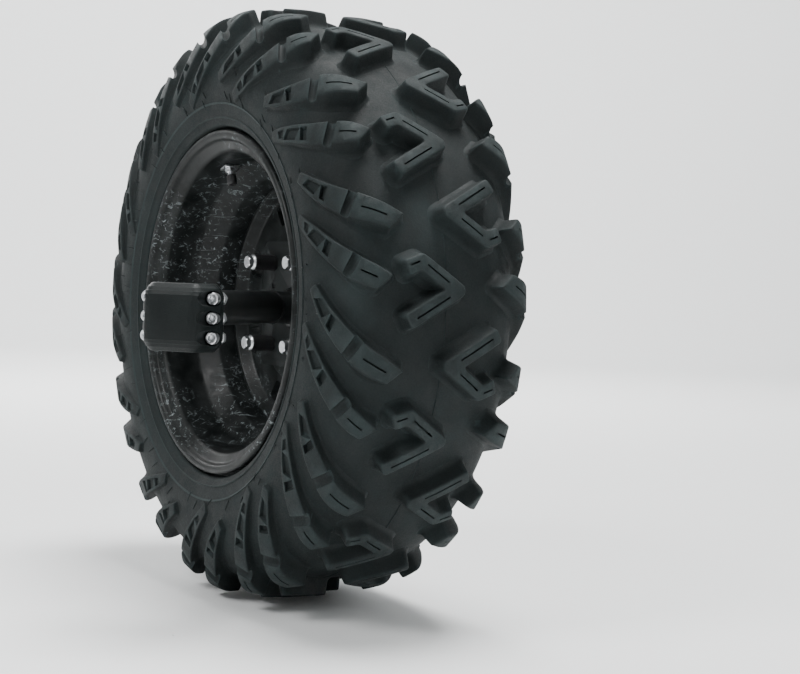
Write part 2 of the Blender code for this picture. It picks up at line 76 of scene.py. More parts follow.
TIRE_NODES = nodes_like("tire")
TIRE_BOX = joint_box(TIRE_NODES)
OUTWARD = Vector(JOINTS["wheel_pull"]["axis"]).normalized()
UP = Vector((0, 0, 1))
ACROSS = UP.cross(-OUTWARD).normalized()
WHEEL_CENTRE = (TIRE_BOX[0] + TIRE_BOX[1]) / 2


def axes_matrix(x_axis, y_axis, z_axis, origin):
    made = Matrix.Identity(4)
    for column, axis in enumerate((x_axis, y_axis, z_axis)):
        for row in range(3):
            made[row][column] = axis[row]
    made.translation = origin
    return made


# Wheel frame: x across, y up, z inboard (towards the clamp), from the tire's mid-plane
WHEEL = axes_matrix(ACROSS, UP, -OUTWARD, WHEEL_CENTRE)
WHEEL_BACK = WHEEL.inverted()


# ---- Mesh helpers ----
def new_object(name, mesh, materials=()):
    made = bpy.data.objects.new(name, mesh)
    bpy.context.scene.collection.objects.link(made)
    for mat in materials:
        mesh.materials.append(mat)
    return made


def finish_mesh(mesh, angle=32):
    mesh.shade_smooth()
    mesh.set_sharp_from_angle(angle=math.radians(angle))
    return mesh


def mesh_from_arrays(name, points, faces, angle=32):
    mesh = bpy.data.meshes.new(name)
    mesh.from_pydata([tuple(point) for point in points], [], faces)
    bm = bmesh.new()
    bm.from_mesh(mesh)
    bmesh.ops.remove_doubles(bm, verts=bm.verts, dist=0.000002)
    bmesh.ops.recalc_face_normals(bm, faces=bm.faces)
    if bm.calc_volume(signed=True) < 0:
        bmesh.ops.reverse_faces(bm, faces=bm.faces)
    bm.to_mesh(mesh)
    bm.free()
    return finish_mesh(mesh, angle)


def ring_faces(rows, columns, close_rows=False):
    """Quads between rows of points, each row a closed ring of columns points."""
    faces = []
    for row in range(rows if close_rows else rows - 1):
        first, second = row * columns, ((row + 1) % rows) * columns
        for column in range(columns):
            after = (column + 1) % columns
            faces.append((first + column, first + after, second + after, second + column))
    return faces


def loft(name, rings, caps=True, loop=False, angle=32):
    """Closed body through rings of points that all have the same count."""
    columns = len(rings[0])
    points = [point for ring in rings for point in ring]
    faces = ring_faces(len(rings), columns, loop)
    if caps and not loop:
        faces.append(tuple(reversed(range(columns))))
        faces.append(tuple(range((len(rings) - 1) * columns, len(rings) * columns)))
    return mesh_from_arrays(name, points, faces, angle)


def lathe(name, profile, steps=96, loop=True, angle=32):
    """A profile of (radius, z) turned about z; a profile that starts on the axis is not looped."""
    rings = [circle(radius, z, steps) for radius, z in profile]
    return loft(name, rings, caps=not loop, loop=loop, angle=angle)


def circle(radius, z, steps):
    """Ring of points round z; the radius may be a function of the step."""
    ring = []
    for step in range(steps):
        turn, reach = TAU * step / steps, radius(step) if callable(radius) else radius
        ring.append((reach * math.cos(turn), reach * math.sin(turn), z))
    return ring


def rectangle(half_x, half_y):
    return [(-half_x, -half_y), (half_x, -half_y), (half_x, half_y), (-half_x, half_y)]


def slab(name, outline, levels):
    """An outline of (x, y) drawn out between levels of z."""
    return loft(name, [np.column_stack([outline, np.full(len(outline), z)]) for z in levels])


def drill(radius, low, high, x=0.0, y=0.0, steps=32):
    """Cutter for a round hole along z."""
    mesh = lathe("drill", [(radius, low), (radius, high)], steps, loop=False)
    mesh.transform(Matrix.Translation((x, y, 0)))
    return new_object("drill", mesh)


def hex_reach(angle, across_flats):
    sector = (angle + math.pi / 6) % (math.pi / 3) - math.pi / 6
    return across_flats / 2 / math.cos(sector)


def turned_hex(name, levels, steps=72, loop=False, angle=28):
    """Levels of (hexagon across flats or None, largest radius, z), so that cones chamfer the corners."""
    rings = []
    for flats, limit, z in levels:
        def reach(step):
            return limit if flats is None else min(hex_reach(TAU * step / steps, flats), limit)
        rings.append(circle(reach, z, steps))
    return loft(name, rings, caps=not loop, loop=loop, angle=angle)


def with_modifiers(thing):
    """Apply every modifier of a piece."""
    bpy.context.view_layer.update()
    graph = bpy.context.evaluated_depsgraph_get()
    mesh = bpy.data.meshes.new_from_object(thing.evaluated_get(graph))
    thing.modifiers.clear()
    thing.data = mesh


def boolean(target, cutters):
    """Cut meshes out of a piece, then throw the cutters away."""
    for cutter in cutters:
        modifier = target.modifiers.new("cut", "BOOLEAN")
        modifier.operation = "DIFFERENCE"
        modifier.solver = "MANIFOLD"
        modifier.object = cutter
    with_modifiers(target)
    for cutter in cutters:
        bpy.data.objects.remove(cutter, do_unlink=True)


def soften(thing, width, segments=2, angle=38):
    modifier = thing.modifiers.new("soften", "BEVEL")
    modifier.width = width
    modifier.segments = segments
    modifier.limit_method = "ANGLE"
    modifier.angle_limit = math.radians(angle)
    modifier.use_clamp_overlap = True
    modifier.harden_normals = False
    with_modifiers(thing)
    finish_mesh(thing.data, 40)


def moved(mesh, matrix):
    mesh.transform(matrix)
    if matrix.determinant() < 0:
        mesh.flip_normals()
    return mesh


def place(thing, body, slot, *nodes):
    """Let a piece ride on a body and stand for CAD nodes."""
    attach(thing, body)
    if nodes:
        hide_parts(*nodes)


SLOTS = {}                          # slot of each material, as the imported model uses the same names


def stand_for(node, mesh, mat, body):
    """A finished piece in place of one CAD node."""
    mesh.materials.clear()
    place(new_object(f"{node}_detailed", mesh, (mat,)), body, SLOTS[mat.name], node)


def at_bolt(mesh, x, y):
    """Move a mesh made about z onto a bolt of the wheel."""
    mesh.transform(Matrix.Translation((x, y, 0)))
    return moved(mesh, WHEEL)


def smooth_path(points, density=8):
    """Catmull-Rom curve through rows of numbers."""
    rows = np.array(points, dtype=float)
    padded = np.vstack([2 * rows[0] - rows[1], rows, 2 * rows[-1] - rows[-2]])
    out = []
    for index in range(1, len(padded) - 2):
        before, start, end, after = padded[index - 1:index + 3]
        for step in range(density):
            t = step / density
            out.append(0.5 * (2 * start + (end - before) * t
                              + (2 * before - 5 * start + 4 * end - after) * t * t
                              + (3 * start - before - 3 * end + after) * t ** 3))
    out.append(rows[-1])
    return np.array(out)


# ---- Materials ----
class Nodes:
    """Short hand for building one material's node tree."""

    def __init__(self, name, colour, roughness, metallic=0.0, **shader_values):
        self.material = bpy.data.materials.new(name)
        SLOTS[self.material.name] = name
        self.material.use_nodes = True
        self.tree = self.material.node_tree
        self.shader = self.tree.nodes["Principled BSDF"]
        self.shader.inputs["Base Color"].default_value = (*colour, 1)
        self.shader.inputs["Roughness"].default_value = roughness
        self.shader.inputs["Metallic"].default_value = metallic
        for key, value in shader_values.items():
            self.shader.inputs[key.replace("_", " ")].default_value = value
        self.coords = self.add("ShaderNodeTexCoord").outputs["Object"]

    def add(self, kind, **settings):
        node = self.tree.nodes.new(kind)
        for key, value in settings.items():
            setattr(node, key, value)
        return node

    def link(self, source, target):
        self.tree.links.new(source, target)

    def stretched(self, scale=(1, 1, 1), rotation=(0, 0, 0)):
        mapping = self.add("ShaderNodeMapping")
        mapping.inputs["Scale"].default_value = scale
        mapping.inputs["Rotation"].default_value = rotation
        self.link(self.coords, mapping.inputs["Vector"])
        return mapping.outputs["Vector"]

    def noise(self, scale, detail=4.0, rough=0.55, vector=None, distortion=0.0):
        node = self.add("ShaderNodeTexNoise")
        node.inputs["Scale"].default_value = scale
        node.inputs["Detail"].default_value = detail
        node.inputs["Roughness"].default_value = rough
        node.inputs["Distortion"].default_value = distortion
        self.link(vector or self.coords, node.inputs["Vector"])
        return node.outputs["Fac"]

    def ramp(self, source, stops):
        node = self.add("ShaderNodeValToRGB")
        elements = node.color_ramp.elements
        while len(elements) < len(stops):
            elements.new(0.5)
        for element, (position, value) in zip(elements, stops):
            element.position = position
            colour = value if isinstance(value, tuple) else (value,) * 3
            element.color = (*colour, 1)
        self.link(source, node.inputs["Fac"])
        return node.outputs["Color"]

    def value_ramp(self, source, low, high, to_low, to_high):
        node = self.add("ShaderNodeMapRange")
        for key, value in (("From Min", low), ("From Max", high),
                           ("To Min", to_low), ("To Max", to_high)):
            node.inputs[key].default_value = value
        self.link(source, node.inputs["Value"])
        return node.outputs["Result"]

    def maths(self, operation, first, second):
        node = self.add("ShaderNodeMath", operation=operation)
        for slot, value in zip(node.inputs, (first, second)):
            if isinstance(value, (int, float)):
                slot.default_value = value
            else:
                self.link(value, slot)
        return node.outputs[0]

    def mix(self, factor, first, second):
        node = self.add("ShaderNodeMix", data_type="RGBA")
        if isinstance(factor, (int, float)):
            node.inputs[0].default_value = factor
        else:
            self.link(factor, node.inputs[0])
        for slot, value in ((node.inputs[6], first), (node.inputs[7], second)):
            if isinstance(value, tuple):
                slot.default_value = (*value, 1)
            else:
                self.link(value, slot)
        return node.outputs[2]

    def bump(self, height, strength, distance, previous=None):
        node = self.add("ShaderNodeBump")
        node.inputs["Strength"].default_value = strength
        node.inputs["Distance"].default_value = distance
        self.link(height, node.inputs["Height"])
        if previous is not None:
            self.link(previous, node.inputs["Normal"])
        return node.outputs["Normal"]

    def colour(self, source):
        self.link(source, self.shader.inputs["Base Color"])

    def roughness(self, source):
        self.link(source, self.shader.inputs["Roughness"])

    def metallic(self, source):
        self.link(source, self.shader.inputs["Metallic"])

    def normal(self, source):
        self.link(source, self.shader.inputs["Normal"])


def powder_coat():
    """Black powder coat on the clamp: orange peel, faint dust and rub marks."""
    made = Nodes("powder_coat", (0.020, 0.023, 0.024), 0.4, Specular_IOR_Level=0.18)
    cloud = made.noise(28, 5)
    fine = made.noise(420, 3)
    made.colour(made.mix(made.value_ramp(cloud, 0.35, 0.75, 0.0, 1.0),
                         (0.0036, 0.0056, 0.0056), (0.0072, 0.0104, 0.0104)))
    made.roughness(made.value_ramp(made.maths("ADD", cloud, fine), 0.7, 1.3, 0.42, 0.58))
    peel = made.bump(made.noise(900, 2), 0.45, 0.0006)
    made.normal(made.bump(made.noise(150, 2), 0.10, 0.0006, peel))
    return made.material


def gloss_steel():
    """Semi-gloss black paint on the arm, the plate and the beads."""
    made = Nodes("black_steel", (0.012, 0.013, 0.014), 0.45, Specular_IOR_Level=0.4)
    cloud = made.noise(22, 4)
    made.colour(made.ramp(cloud, [(0.3, (0.006, 0.0075, 0.0075)), (0.75, (0.013, 0.016, 0.016))]))
    made.roughness(made.value_ramp(cloud, 0.3, 0.75, 0.38, 0.54))
    made.normal(made.bump(made.noise(260, 2), 0.12, 0.0005))
    return made.material


def spacer_black():
    made = Nodes("spacer_black", (0.008, 0.008, 0.009), 0.55)
    turning = made.noise(300, 3)
    made.colour(made.ramp(turning, [(0.3, (0.006, 0.006, 0.007)), (0.8, (0.013, 0.013, 0.014))]))
    made.roughness(made.value_ramp(turning, 0.3, 0.7, 0.48, 0.66))
    made.normal(made.bump(turning, 0.15, 0.0003))
    return made.material


def zinc():
    """Bright zinc plate: mottled, with a little dulling in patches."""
    made = Nodes("zinc_plate", (0.78, 0.79, 0.80), 0.32, 1.0)
    cloud = made.noise(180, 5)
    made.colour(made.ramp(cloud, [(0.3, (0.60, 0.62, 0.64)), (0.7, (0.86, 0.87, 0.88))]))
    made.roughness(made.value_ramp(made.noise(420, 3), 0.3, 0.7, 0.26, 0.44))
    made.normal(made.bump(made.noise(1400, 2), 0.12, 0.0002))
    return made.material


def wheel_paint():
    """Black wheel paint, scuffed to bare metal in thin streaks, with patches of dust."""
    made = Nodes("wheel_paint", (0.016, 0.018, 0.019), 0.3, Specular_IOR_Level=0.16)
    cloud = made.noise(12, 5)
    scratch_a = made.noise(170, 6, 0.7, made.stretched((1.0, 0.09, 1.0), (0.35, 0.2, 0.9)), 0.6)
    scratch_b = made.noise(200, 6, 0.7, made.stretched((0.10, 1.0, 1.0), (0.7, -0.5, 0.3)), 0.8)
    streaks = made.maths("MAXIMUM", made.value_ramp(scratch_a, 0.575, 0.65, 0.0, 0.8),
                         made.value_ramp(scratch_b, 0.590, 0.665, 0.0, 0.8))
    patches = made.value_ramp(made.noise(9, 4), 0.44, 0.60, 0.0, 1.0)
    worn = made.maths("MULTIPLY", streaks, patches)
    dust = made.value_ramp(made.noise(35, 6, 0.7), 0.40, 0.75, 0.0, 0.45)
    base = made.mix(made.value_ramp(cloud, 0.3, 0.7, 0.0, 1.0),
                    (0.0035, 0.0045, 0.0045), (0.008, 0.0095, 0.0095))
    dusty = made.mix(dust, base, (0.045, 0.050, 0.050))
    made.colour(made.mix(worn, dusty, (0.27, 0.31, 0.32)))
    made.metallic(made.maths("MULTIPLY", worn, 0.5))
    made.roughness(made.value_ramp(dust, 0.0, 0.30, 0.34, 0.56))
    made.normal(made.bump(made.noise(240, 3), 0.10, 0.0006))
    return made.material


def rubber():
    """Moulded tire rubber: matt, slightly bloomed, with fine grain; convex edges lightened as painted
    highlight and rubbed wear.
    """
    made = Nodes("tire_rubber", (0.030, 0.033, 0.033), 0.8, Specular_IOR_Level=0.28)
    cloud = made.noise(9, 6, 0.6)
    bloom = made.noise(45, 5, 0.65)
    fine = made.noise(600, 3)
    tone = made.maths("ADD", made.maths("MULTIPLY", cloud, 0.6), made.maths("MULTIPLY", bloom, 0.4))
    base = made.ramp(tone, [(0.32, (0.0036, 0.0058, 0.0059)), (0.52, (0.0070, 0.0108, 0.0110)),
                            (0.72, (0.0150, 0.0228, 0.0232))])
    # convex lug edges get a lighter colour from pointiness: a painted highlight along the edges, together
    # with rubbed wear
    edges = made.add("ShaderNodeNewGeometry").outputs["Pointiness"]
    edge_wear_and_highlight = made.value_ramp(edges, 0.51, 0.57, 0.0, 0.5)
    made.colour(made.mix(edge_wear_and_highlight, base, (0.029, 0.043, 0.044)))
    made.roughness(made.value_ramp(made.maths("ADD", bloom, fine), 0.7, 1.35, 0.62, 0.92))
    grain = made.bump(fine, 0.35, 0.0005)
    made.normal(made.bump(made.noise(70, 4), 0.22, 0.0014, grain))
    return made.material


def black_plastic():
    made = Nodes("black_plastic", (0.013, 0.013, 0.014), 0.5)
    made.roughness(made.value_ramp(made.noise(300, 3), 0.3, 0.7, 0.42, 0.6))
    made.colour(made.ramp(made.noise(60, 3), [(0.3, (0.010, 0.010, 0.011)), (0.7, (0.018, 0.018, 0.019))]))
    made.normal(made.bump(made.noise(1200, 2), 0.2, 0.0002))
    return made.material


POWDER = powder_coat()
STEEL = gloss_steel()
SPACER = spacer_black()
ZINC = zinc()
WHEEL_PAINT = wheel_paint()
RUBBER = rubber()
PLASTIC = black_plastic()


# ---- Tire: casing and lugs mapped over one section ----
PITCHES = 13
PITCH = TAU / PITCHES
FIRST_PITCH = math.radians(4.4)      # where one chevron's apex sits, from across towards up
PITCH_SWING = math.radians(1.86)     # lugs are closer together on one side, as on real tread
LONG_LUG_TURN = math.radians(11.9)   # how far a pitch's shoulder lugs sit from its chevron
SHORT_LUG_TURN = math.radians(1.0)
TREAD_R = TIRE_BOX[1].z - WHEEL_CENTRE.z

# section from the crown towards the near bead: lug-top radius and z, casing radius and z
SECTION = [
    (TREAD_R, 0.0000, 0.3235, 0.0000),
    (0.3418, 0.0300, 0.3228, 0.0300),
    (0.3398, 0.0600, 0.3200, 0.0570),
    (0.3355, 0.0830, 0.3140, 0.0770),
    (0.3262, 0.0975, 0.3060, 0.0895),
    (0.3080, 0.1075, 0.2960, 0.0990),
    (0.2840, 0.1160, 0.2790, 0.1080),
    (0.2600, 0.1198, 0.2590, 0.1137),
    (0.2400, 0.1186, 0.2400, 0.1156),
    (0.2260, 0.1156, 0.2260, 0.1148),
]
BEAD = [(0.2260, 0.1148), (0.2180, 0.1132), (0.2128, 0.1118), (0.2120, 0.1126), (0.2108, 0.1126),
        (0.2100, 0.1110), (0.2070, 0.1094), (0.2040, 0.1078), (0.2018, 0.1052), (0.2010, 0.1010),
        (0.2000, 0.0975), (0.1900, 0.0962), (0.1815, 0.0940), (0.1795, 0.0900), (0.1795, 0.0760)]
LINING = [(0.1850, 0.0740), (0.2200, 0.0980), (0.2600, 0.1040), (0.2980, 0.0860), (0.3130, 0.0500),
          (0.3150, 0.0000)]

_path = smooth_path(SECTION, 12)
_steps = np.hypot(np.diff(_path[:, 0]), np.diff(_path[:, 1]))
_arc = np.concatenate([[0], np.cumsum(_steps)])


def section_at(t):
    """Lug-top and casing points at arc length t from the crown, negative on the far side."""
    sides = np.sign(t)
    reach = np.abs(t)
    top_r, top_z, low_r, low_z = (np.interp(reach, _arc, _path[:, column]) for column in range(4))
    return top_r, top_z * sides, low_r, low_z * sides


def pitch_angle(index):
    """Angle of a pitch; the index may be a fraction."""
    return FIRST_PITCH + PITCH * index - PITCH_SWING * math.sin(PITCH * index)


def over_tire(points, index):
    """Map (s, t, level) rows to wheel coordinates; level is 0 on the casing and 1 on the lug tops."""
    top_r, top_z, low_r, low_z = section_at(points[:, 1])
    radius = low_r + (top_r - low_r) * points[:, 2]
    z = low_z + (top_z - low_z) * points[:, 2]
    theta = pitch_angle(index) + points[:, 0] / TREAD_R
    return np.stack([radius * np.cos(theta), radius * np.sin(theta), z], axis=1)


LUG_DEPTH = 0.019                   # flat lug height, which the section rescales
CUTTER_REACH = 1.3                  # how high the cutters stand, in lug heights
SIPE_WIDTH = 0.0019
LUG_GRID = 0.008                    # spacing of the cuts that let a lug bend over the tire


def round_corners(outline, size, steps=3):
    """Trim each corner of a closed outline with a short arc."""
    rounded = []
    count = len(outline)
    for index in range(count):
        before, corner, after = (np.array(outline[(index + shift) % count]) for shift in (-1, 0, 1))
        back, ahead = before - corner, after - corner
        cut = min(size, 0.4 * np.linalg.norm(back), 0.4 * np.linalg.norm(ahead))
        start = corner + back / np.linalg.norm(back) * cut
        end = corner + ahead / np.linalg.norm(ahead) * cut
        for step in range(steps + 1):
            share = step / steps
            rounded.append((1 - share) ** 2 * start + 2 * share * (1 - share) * corner + share ** 2 * end)
    return np.array(rounded)


def refine(outline, longest):
    """Split long edges of a closed outline."""
    fine = []
    for start, end in zip(outline, np.roll(outline, -1, axis=0)):
        pieces = max(1, int(math.ceil(np.linalg.norm(end - start) / longest)))
        for piece in range(pieces):
            fine.append(start + (end - start) * piece / pieces)
    return np.array(fine)


def outward_steps(outline):
    """Unit mitre direction at each point of an anticlockwise outline, long corners limited."""
    ahead = np.roll(outline, -1, axis=0) - outline
    ahead /= np.linalg.norm(ahead, axis=1)[:, None]
    behind = np.roll(ahead, 1, axis=0)
    normal_a = np.stack([ahead[:, 1], -ahead[:, 0]], axis=1)
    normal_b = np.stack([behind[:, 1], -behind[:, 0]], axis=1)
    total = normal_a + normal_b
    total /= np.maximum(np.linalg.norm(total, axis=1), 1e-6)[:, None]
    stretch = 1 / np.maximum((total * normal_a).sum(axis=1), 0.62)
    return total * stretch[:, None]


def anticlockwise(outline):
    outline = np.array(outline, dtype=float)
    x, y = outline[:, 0], outline[:, 1]
    area = (x * np.roll(y, -1) - y * np.roll(x, -1)).sum()
    return outline if area > 0 else outline[::-1]


def stroke(path, half_width):
    """Outline of a bent bar: a centre line of (s, t) with the same half width all along."""
    path = np.array(path, dtype=float)
    direction = np.diff(path, axis=0)
    direction /= np.linalg.norm(direction, axis=1)[:, None]
    sides = []
    for side in (1, -1):
        row = []
        for index in range(len(path)):
            first = direction[max(index - 1, 0)]
            second = direction[min(index, len(direction) - 1)]
            normal = np.array([-(first + second)[1], (first + second)[0]])
            normal /= np.linalg.norm(normal)
            reach = half_width / max(abs(normal @ np.array([-first[1], first[0]])), 0.5)
            row.append(path[index] + side * normal * reach)
        sides.append(row)
    return np.array(sides[0] + sides[1][::-1])


def blunted(outline, corner, cut):
    """Replace one corner of an outline with a flat."""
    point = outline[corner]
    before, after = outline[corner - 1], outline[corner + 1]
    first = point + (before - point) / np.linalg.norm(before - point) * cut
    second = point + (after - point) / np.linalg.norm(after - point) * cut
    return np.vstack([outline[:corner], [first, second], outline[corner + 1:]])


# share of the lug's height, and how far the wall stands out there, in metres
LUG_WALL = [(1.00, -0.0016), (0.975, -0.0007), (0.93, -0.0001), (0.86, 0.0004), (0.55, 0.0018),
            (0.30, 0.0030), (0.17, 0.0040), (0.08, 0.0055), (0.02, 0.0076), (-0.04, 0.0098),
            (-0.25, 0.0100)]


def flat_lug(name, outline, corner=0.0022):
    """One lug on the flat: a lofted block with sloping walls and a flared foot."""
    outline = refine(round_corners(anticlockwise(outline), corner), 0.006)
    directions = outward_steps(outline)
    top_r, top_z, low_r, low_z = section_at(outline[:, 1])
    depth = np.hypot(top_r - low_r, top_z - low_z)
    flare = np.clip(depth / LUG_DEPTH, 0.3, 1.0)[:, None]
    rings = []
    for share, push in LUG_WALL:
        moved_out = outline + directions * (push * (flare if push > 0 else 1.0))
        rings.append(np.column_stack([moved_out, np.full(len(outline), share * LUG_DEPTH)]))
    return new_object(name, loft(name, rings))


def slot_cutter(start, end, depth):
    """A round-ended slot, cut from the lug's top."""
    start, end = np.array(start), np.array(end)
    along = (end - start) / np.linalg.norm(end - start)
    side = np.array([-along[1], along[0]]) * SIPE_WIDTH / 2
    corners = [start - side, end - side, end + side, start + side]
    outline = round_corners(corners, SIPE_WIDTH * 0.45, 2)
    return new_object("slot", slab("slot", outline, (LUG_DEPTH - depth, LUG_DEPTH * CUTTER_REACH)))


def pocket_cutter(corners, depth, draft=0.0012):
    """A shallow pocket with sloping sides, cut from the lug's top."""
    outline = round_corners(anticlockwise(corners), 0.0012, 2)
    directions = outward_steps(outline)
    rings = [np.column_stack([outline - directions * draft, np.full(len(outline), LUG_DEPTH - depth)]),
             np.column_stack([outline, np.full(len(outline), LUG_DEPTH)]),
             np.column_stack([outline, np.full(len(outline), LUG_DEPTH * CUTTER_REACH)])]
    return new_object("pocket", loft("pocket", rings))


def groove_cutter(start, end, radius, sink):
    """A round-bottomed groove across a lug; sink is how deep its bottom lies below the top."""
    start, end = Vector((*start, 0)), Vector((*end, 0))
    along = (end - start).normalized()
    centre_z = LUG_DEPTH - sink + radius
    side = along.cross(Vector((0, 0, 1)))
    rings = []
    for place_at in (start, end):
        ring = []
        for x, y, _ in circle(radius, 0, 20):
            point = place_at + side * x
            ring.append((point.x, point.y, centre_z + y))
        rings.append(ring)
    return new_object("groove", loft("groove", rings))


def gridded(mesh, spacing):
    """Cut a flat lug along t and s so that it can bend over the tire."""
    bm = bmesh.new()
    bm.from_mesh(mesh)
    for axis in (0, 1):
        values = [vert.co[axis] for vert in bm.verts]
        normal = Vector((1, 0, 0)) if axis == 0 else Vector((0, 1, 0))
        level = math.ceil(min(values) / spacing) * spacing
        while level < max(values):
            geometry = list(bm.verts) + list(bm.edges) + list(bm.faces)
            bmesh.ops.bisect_plane(bm, geom=geometry, dist=0.00001,
                                   plane_co=normal * level, plane_no=normal)
            level += spacing
    bmesh.ops.triangulate(bm, faces=[face for face in bm.faces if len(face.verts) > 4])
    bm.to_mesh(mesh)
    bm.free()
    return mesh


def lug_arrays(thing):
    """Points and faces of a finished flat lug, with level in place of height."""
    mesh = thing.data
    points = np.array([tuple(vert.co) for vert in mesh.vertices])
    points[:, 2] /= LUG_DEPTH
    faces = [tuple(face.vertices) for face in mesh.polygons]
    bpy.data.objects.remove(thing, do_unlink=True)
    return points, faces


def chevron():
    """Centre lug: two arms from one apex, the upper one ending in a hook."""
    hook, bend, apex, tail = (0.0205, 0.0580), (0.0270, 0.0400), (-0.0010, -0.0010), (-0.0345, 0.0560)
    outline = stroke([hook, bend, apex, tail], 0.0083)
    outline = blunted(outline, 2, 0.008)
    lug = flat_lug("chevron", outline, 0.0042)
    cutters = [slot_cutter((0.0065, 0.0100), (0.0240, 0.0350), 0.006),
               slot_cutter((0.0272, 0.0435), (0.0230, 0.0545), 0.005),
               slot_cutter((-0.0080, 0.0090), (-0.0305, 0.0470), 0.006)]
    boolean(lug, cutters)
    gridded(lug.data, LUG_GRID)
    return lug_arrays(lug)


def shoulder_lug(name, centre, widths, step_t, sipe_t, pockets):
    """Shoulder lug along a centre line of (s, t), widest over the shoulder, with a slanting tip."""
    dense = smooth_path(np.column_stack([centre, widths]), 6)
    direction = np.gradient(dense[:, :2], axis=0)
    direction /= np.linalg.norm(direction, axis=1)[:, None]
    normal = np.stack([-direction[:, 1], direction[:, 0]], axis=1)
    left = dense[:, :2] + normal * dense[:, 2:3] / 2
    right = dense[:, :2] - normal * dense[:, 2:3] / 2
    outline = np.vstack([left[3:], right[::-1]])
    lug = flat_lug(name, outline, 0.0018)

    def on_line(t, offset=0.0):
        row = [np.interp(t, dense[:, 1], dense[:, column]) for column in range(2)]
        side = [np.interp(t, dense[:, 1], normal[:, column]) for column in range(2)]
        return (row[0] + side[0] * offset, row[1] + side[1] * offset)

    def half_width(t):
        return float(np.interp(t, dense[:, 1], dense[:, 2])) / 2

    reach = half_width(step_t) + 0.010
    cutters = [groove_cutter(on_line(step_t, -reach), on_line(step_t, reach), 0.0062, 0.0075),
               slot_cutter(on_line(sipe_t[0]), on_line(sipe_t[1]), 0.005)]
    for start_t, end_t, slant in pockets:
        wide_a, wide_b = half_width(start_t) - 0.0036, half_width(end_t) - 0.0036
        corners = [on_line(start_t + slant, -wide_a), on_line(end_t, -wide_b),
                   on_line(end_t - slant, wide_b), on_line(start_t, wide_a)]
        cutters.append(pocket_cutter(corners, 0.0095))
    boolean(lug, cutters)
    gridded(lug.data, LUG_GRID)
    return lug_arrays(lug)


def long_lug():
    """Shoulder lug that reaches well into the tread."""
    centre = [(-0.001, 0.060), (0.007, 0.080), (0.019, 0.104), (0.037, 0.130), (0.064, 0.156), (0.096, 0.176)]
    return shoulder_lug("long_lug", centre, [0.017, 0.024, 0.027, 0.026, 0.021, 0.013], 0.1145,
                        (0.076, 0.101), [(0.1390, 0.1500, 0.0040), (0.1530, 0.1655, -0.0030)])


def short_lug():
    """Shoulder lug that stops at the edge of the tread and runs further down the sidewall."""
    centre = [(-0.001, 0.077), (0.007, 0.095), (0.019, 0.117), (0.041, 0.145), (0.073, 0.173), (0.106, 0.196)]
    return shoulder_lug("short_lug", centre, [0.017, 0.024, 0.026, 0.024, 0.020, 0.013], 0.1175,
                        (0.090, 0.107), [(0.1430, 0.1550, 0.0040), (0.1580, 0.1720, -0.0030),
                                         (0.1750, 0.1860, 0.0030)])


def tread_points():
    """Every lug in wheel coordinates."""
    kinds = {"chevron": chevron(), "long": long_lug(), "short": short_lug()}
    layout = [("chevron", 0.0), ("long", LONG_LUG_TURN / PITCH), ("short", SHORT_LUG_TURN / PITCH)]
    points, faces = [], []
    total = 0
    for index in range(PITCHES):
        for kind, offset in layout:
            for side in (1, -1):
                rows, quads = kinds[kind]
                turned = rows * np.array([side, side, 1.0])
                shift = index + side * offset - (0.5 if side < 0 else 0.0)
                placed = over_tire(turned, shift)
                points.append(placed)
                faces += [tuple(vertex + total for vertex in quad) for quad in quads]
                total += len(placed)
    return np.vstack(points), faces


def casing_profile():
    """Closed section of the casing, far bead to near bead outside, and back inside."""
    casing = smooth_path([row[2:] for row in SECTION], 6)
    bead = np.array(BEAD[1:])
    outer_near = np.vstack([casing, bead])
    outer_far = outer_near[:0:-1] * np.array([1, -1])
    lining = np.array(LINING)
    lining_far = lining[:-1][::-1] * np.array([1, -1])
    return np.vstack([outer_far, outer_near, lining, lining_far])


def mould_lines(steps=360):
    """Raised parting line round the crown and one fine rib on each sidewall."""
    rings = []
    for t, width, height in ((0.002, 0.0008, 0.0007), (0.2035, 0.0012, 0.0010), (-0.2035, 0.0012, 0.0010)):
        _, _, low_r, low_z = section_at(np.array([t - width, t, t + width]))
        lift_r, lift_z = (height, 0.0) if abs(t) < 0.1 else (0.0, math.copysign(height, t))
        profile = [(low_r[0] - 0.001, low_z[0]), (low_r[1] + lift_r, low_z[1] + lift_z),
                   (low_r[2] - 0.001, low_z[2])]
        if t < 0:
            profile = profile[::-1]
        rings.append(lathe("line", profile, steps))
    return rings


HAIR_SEED = 7
HAIR_SIDES = 5
# arc length from the crown, and how many hairs stand on that ring
HAIR_RINGS = ((0.199, 30), (0.2065, 26), (0.176, 13))
# share of a hair's length, and its radius there
HAIR_TAPER = ((-0.1, 0.0007), (0.5, 0.0006), (1.0, 0.0004))


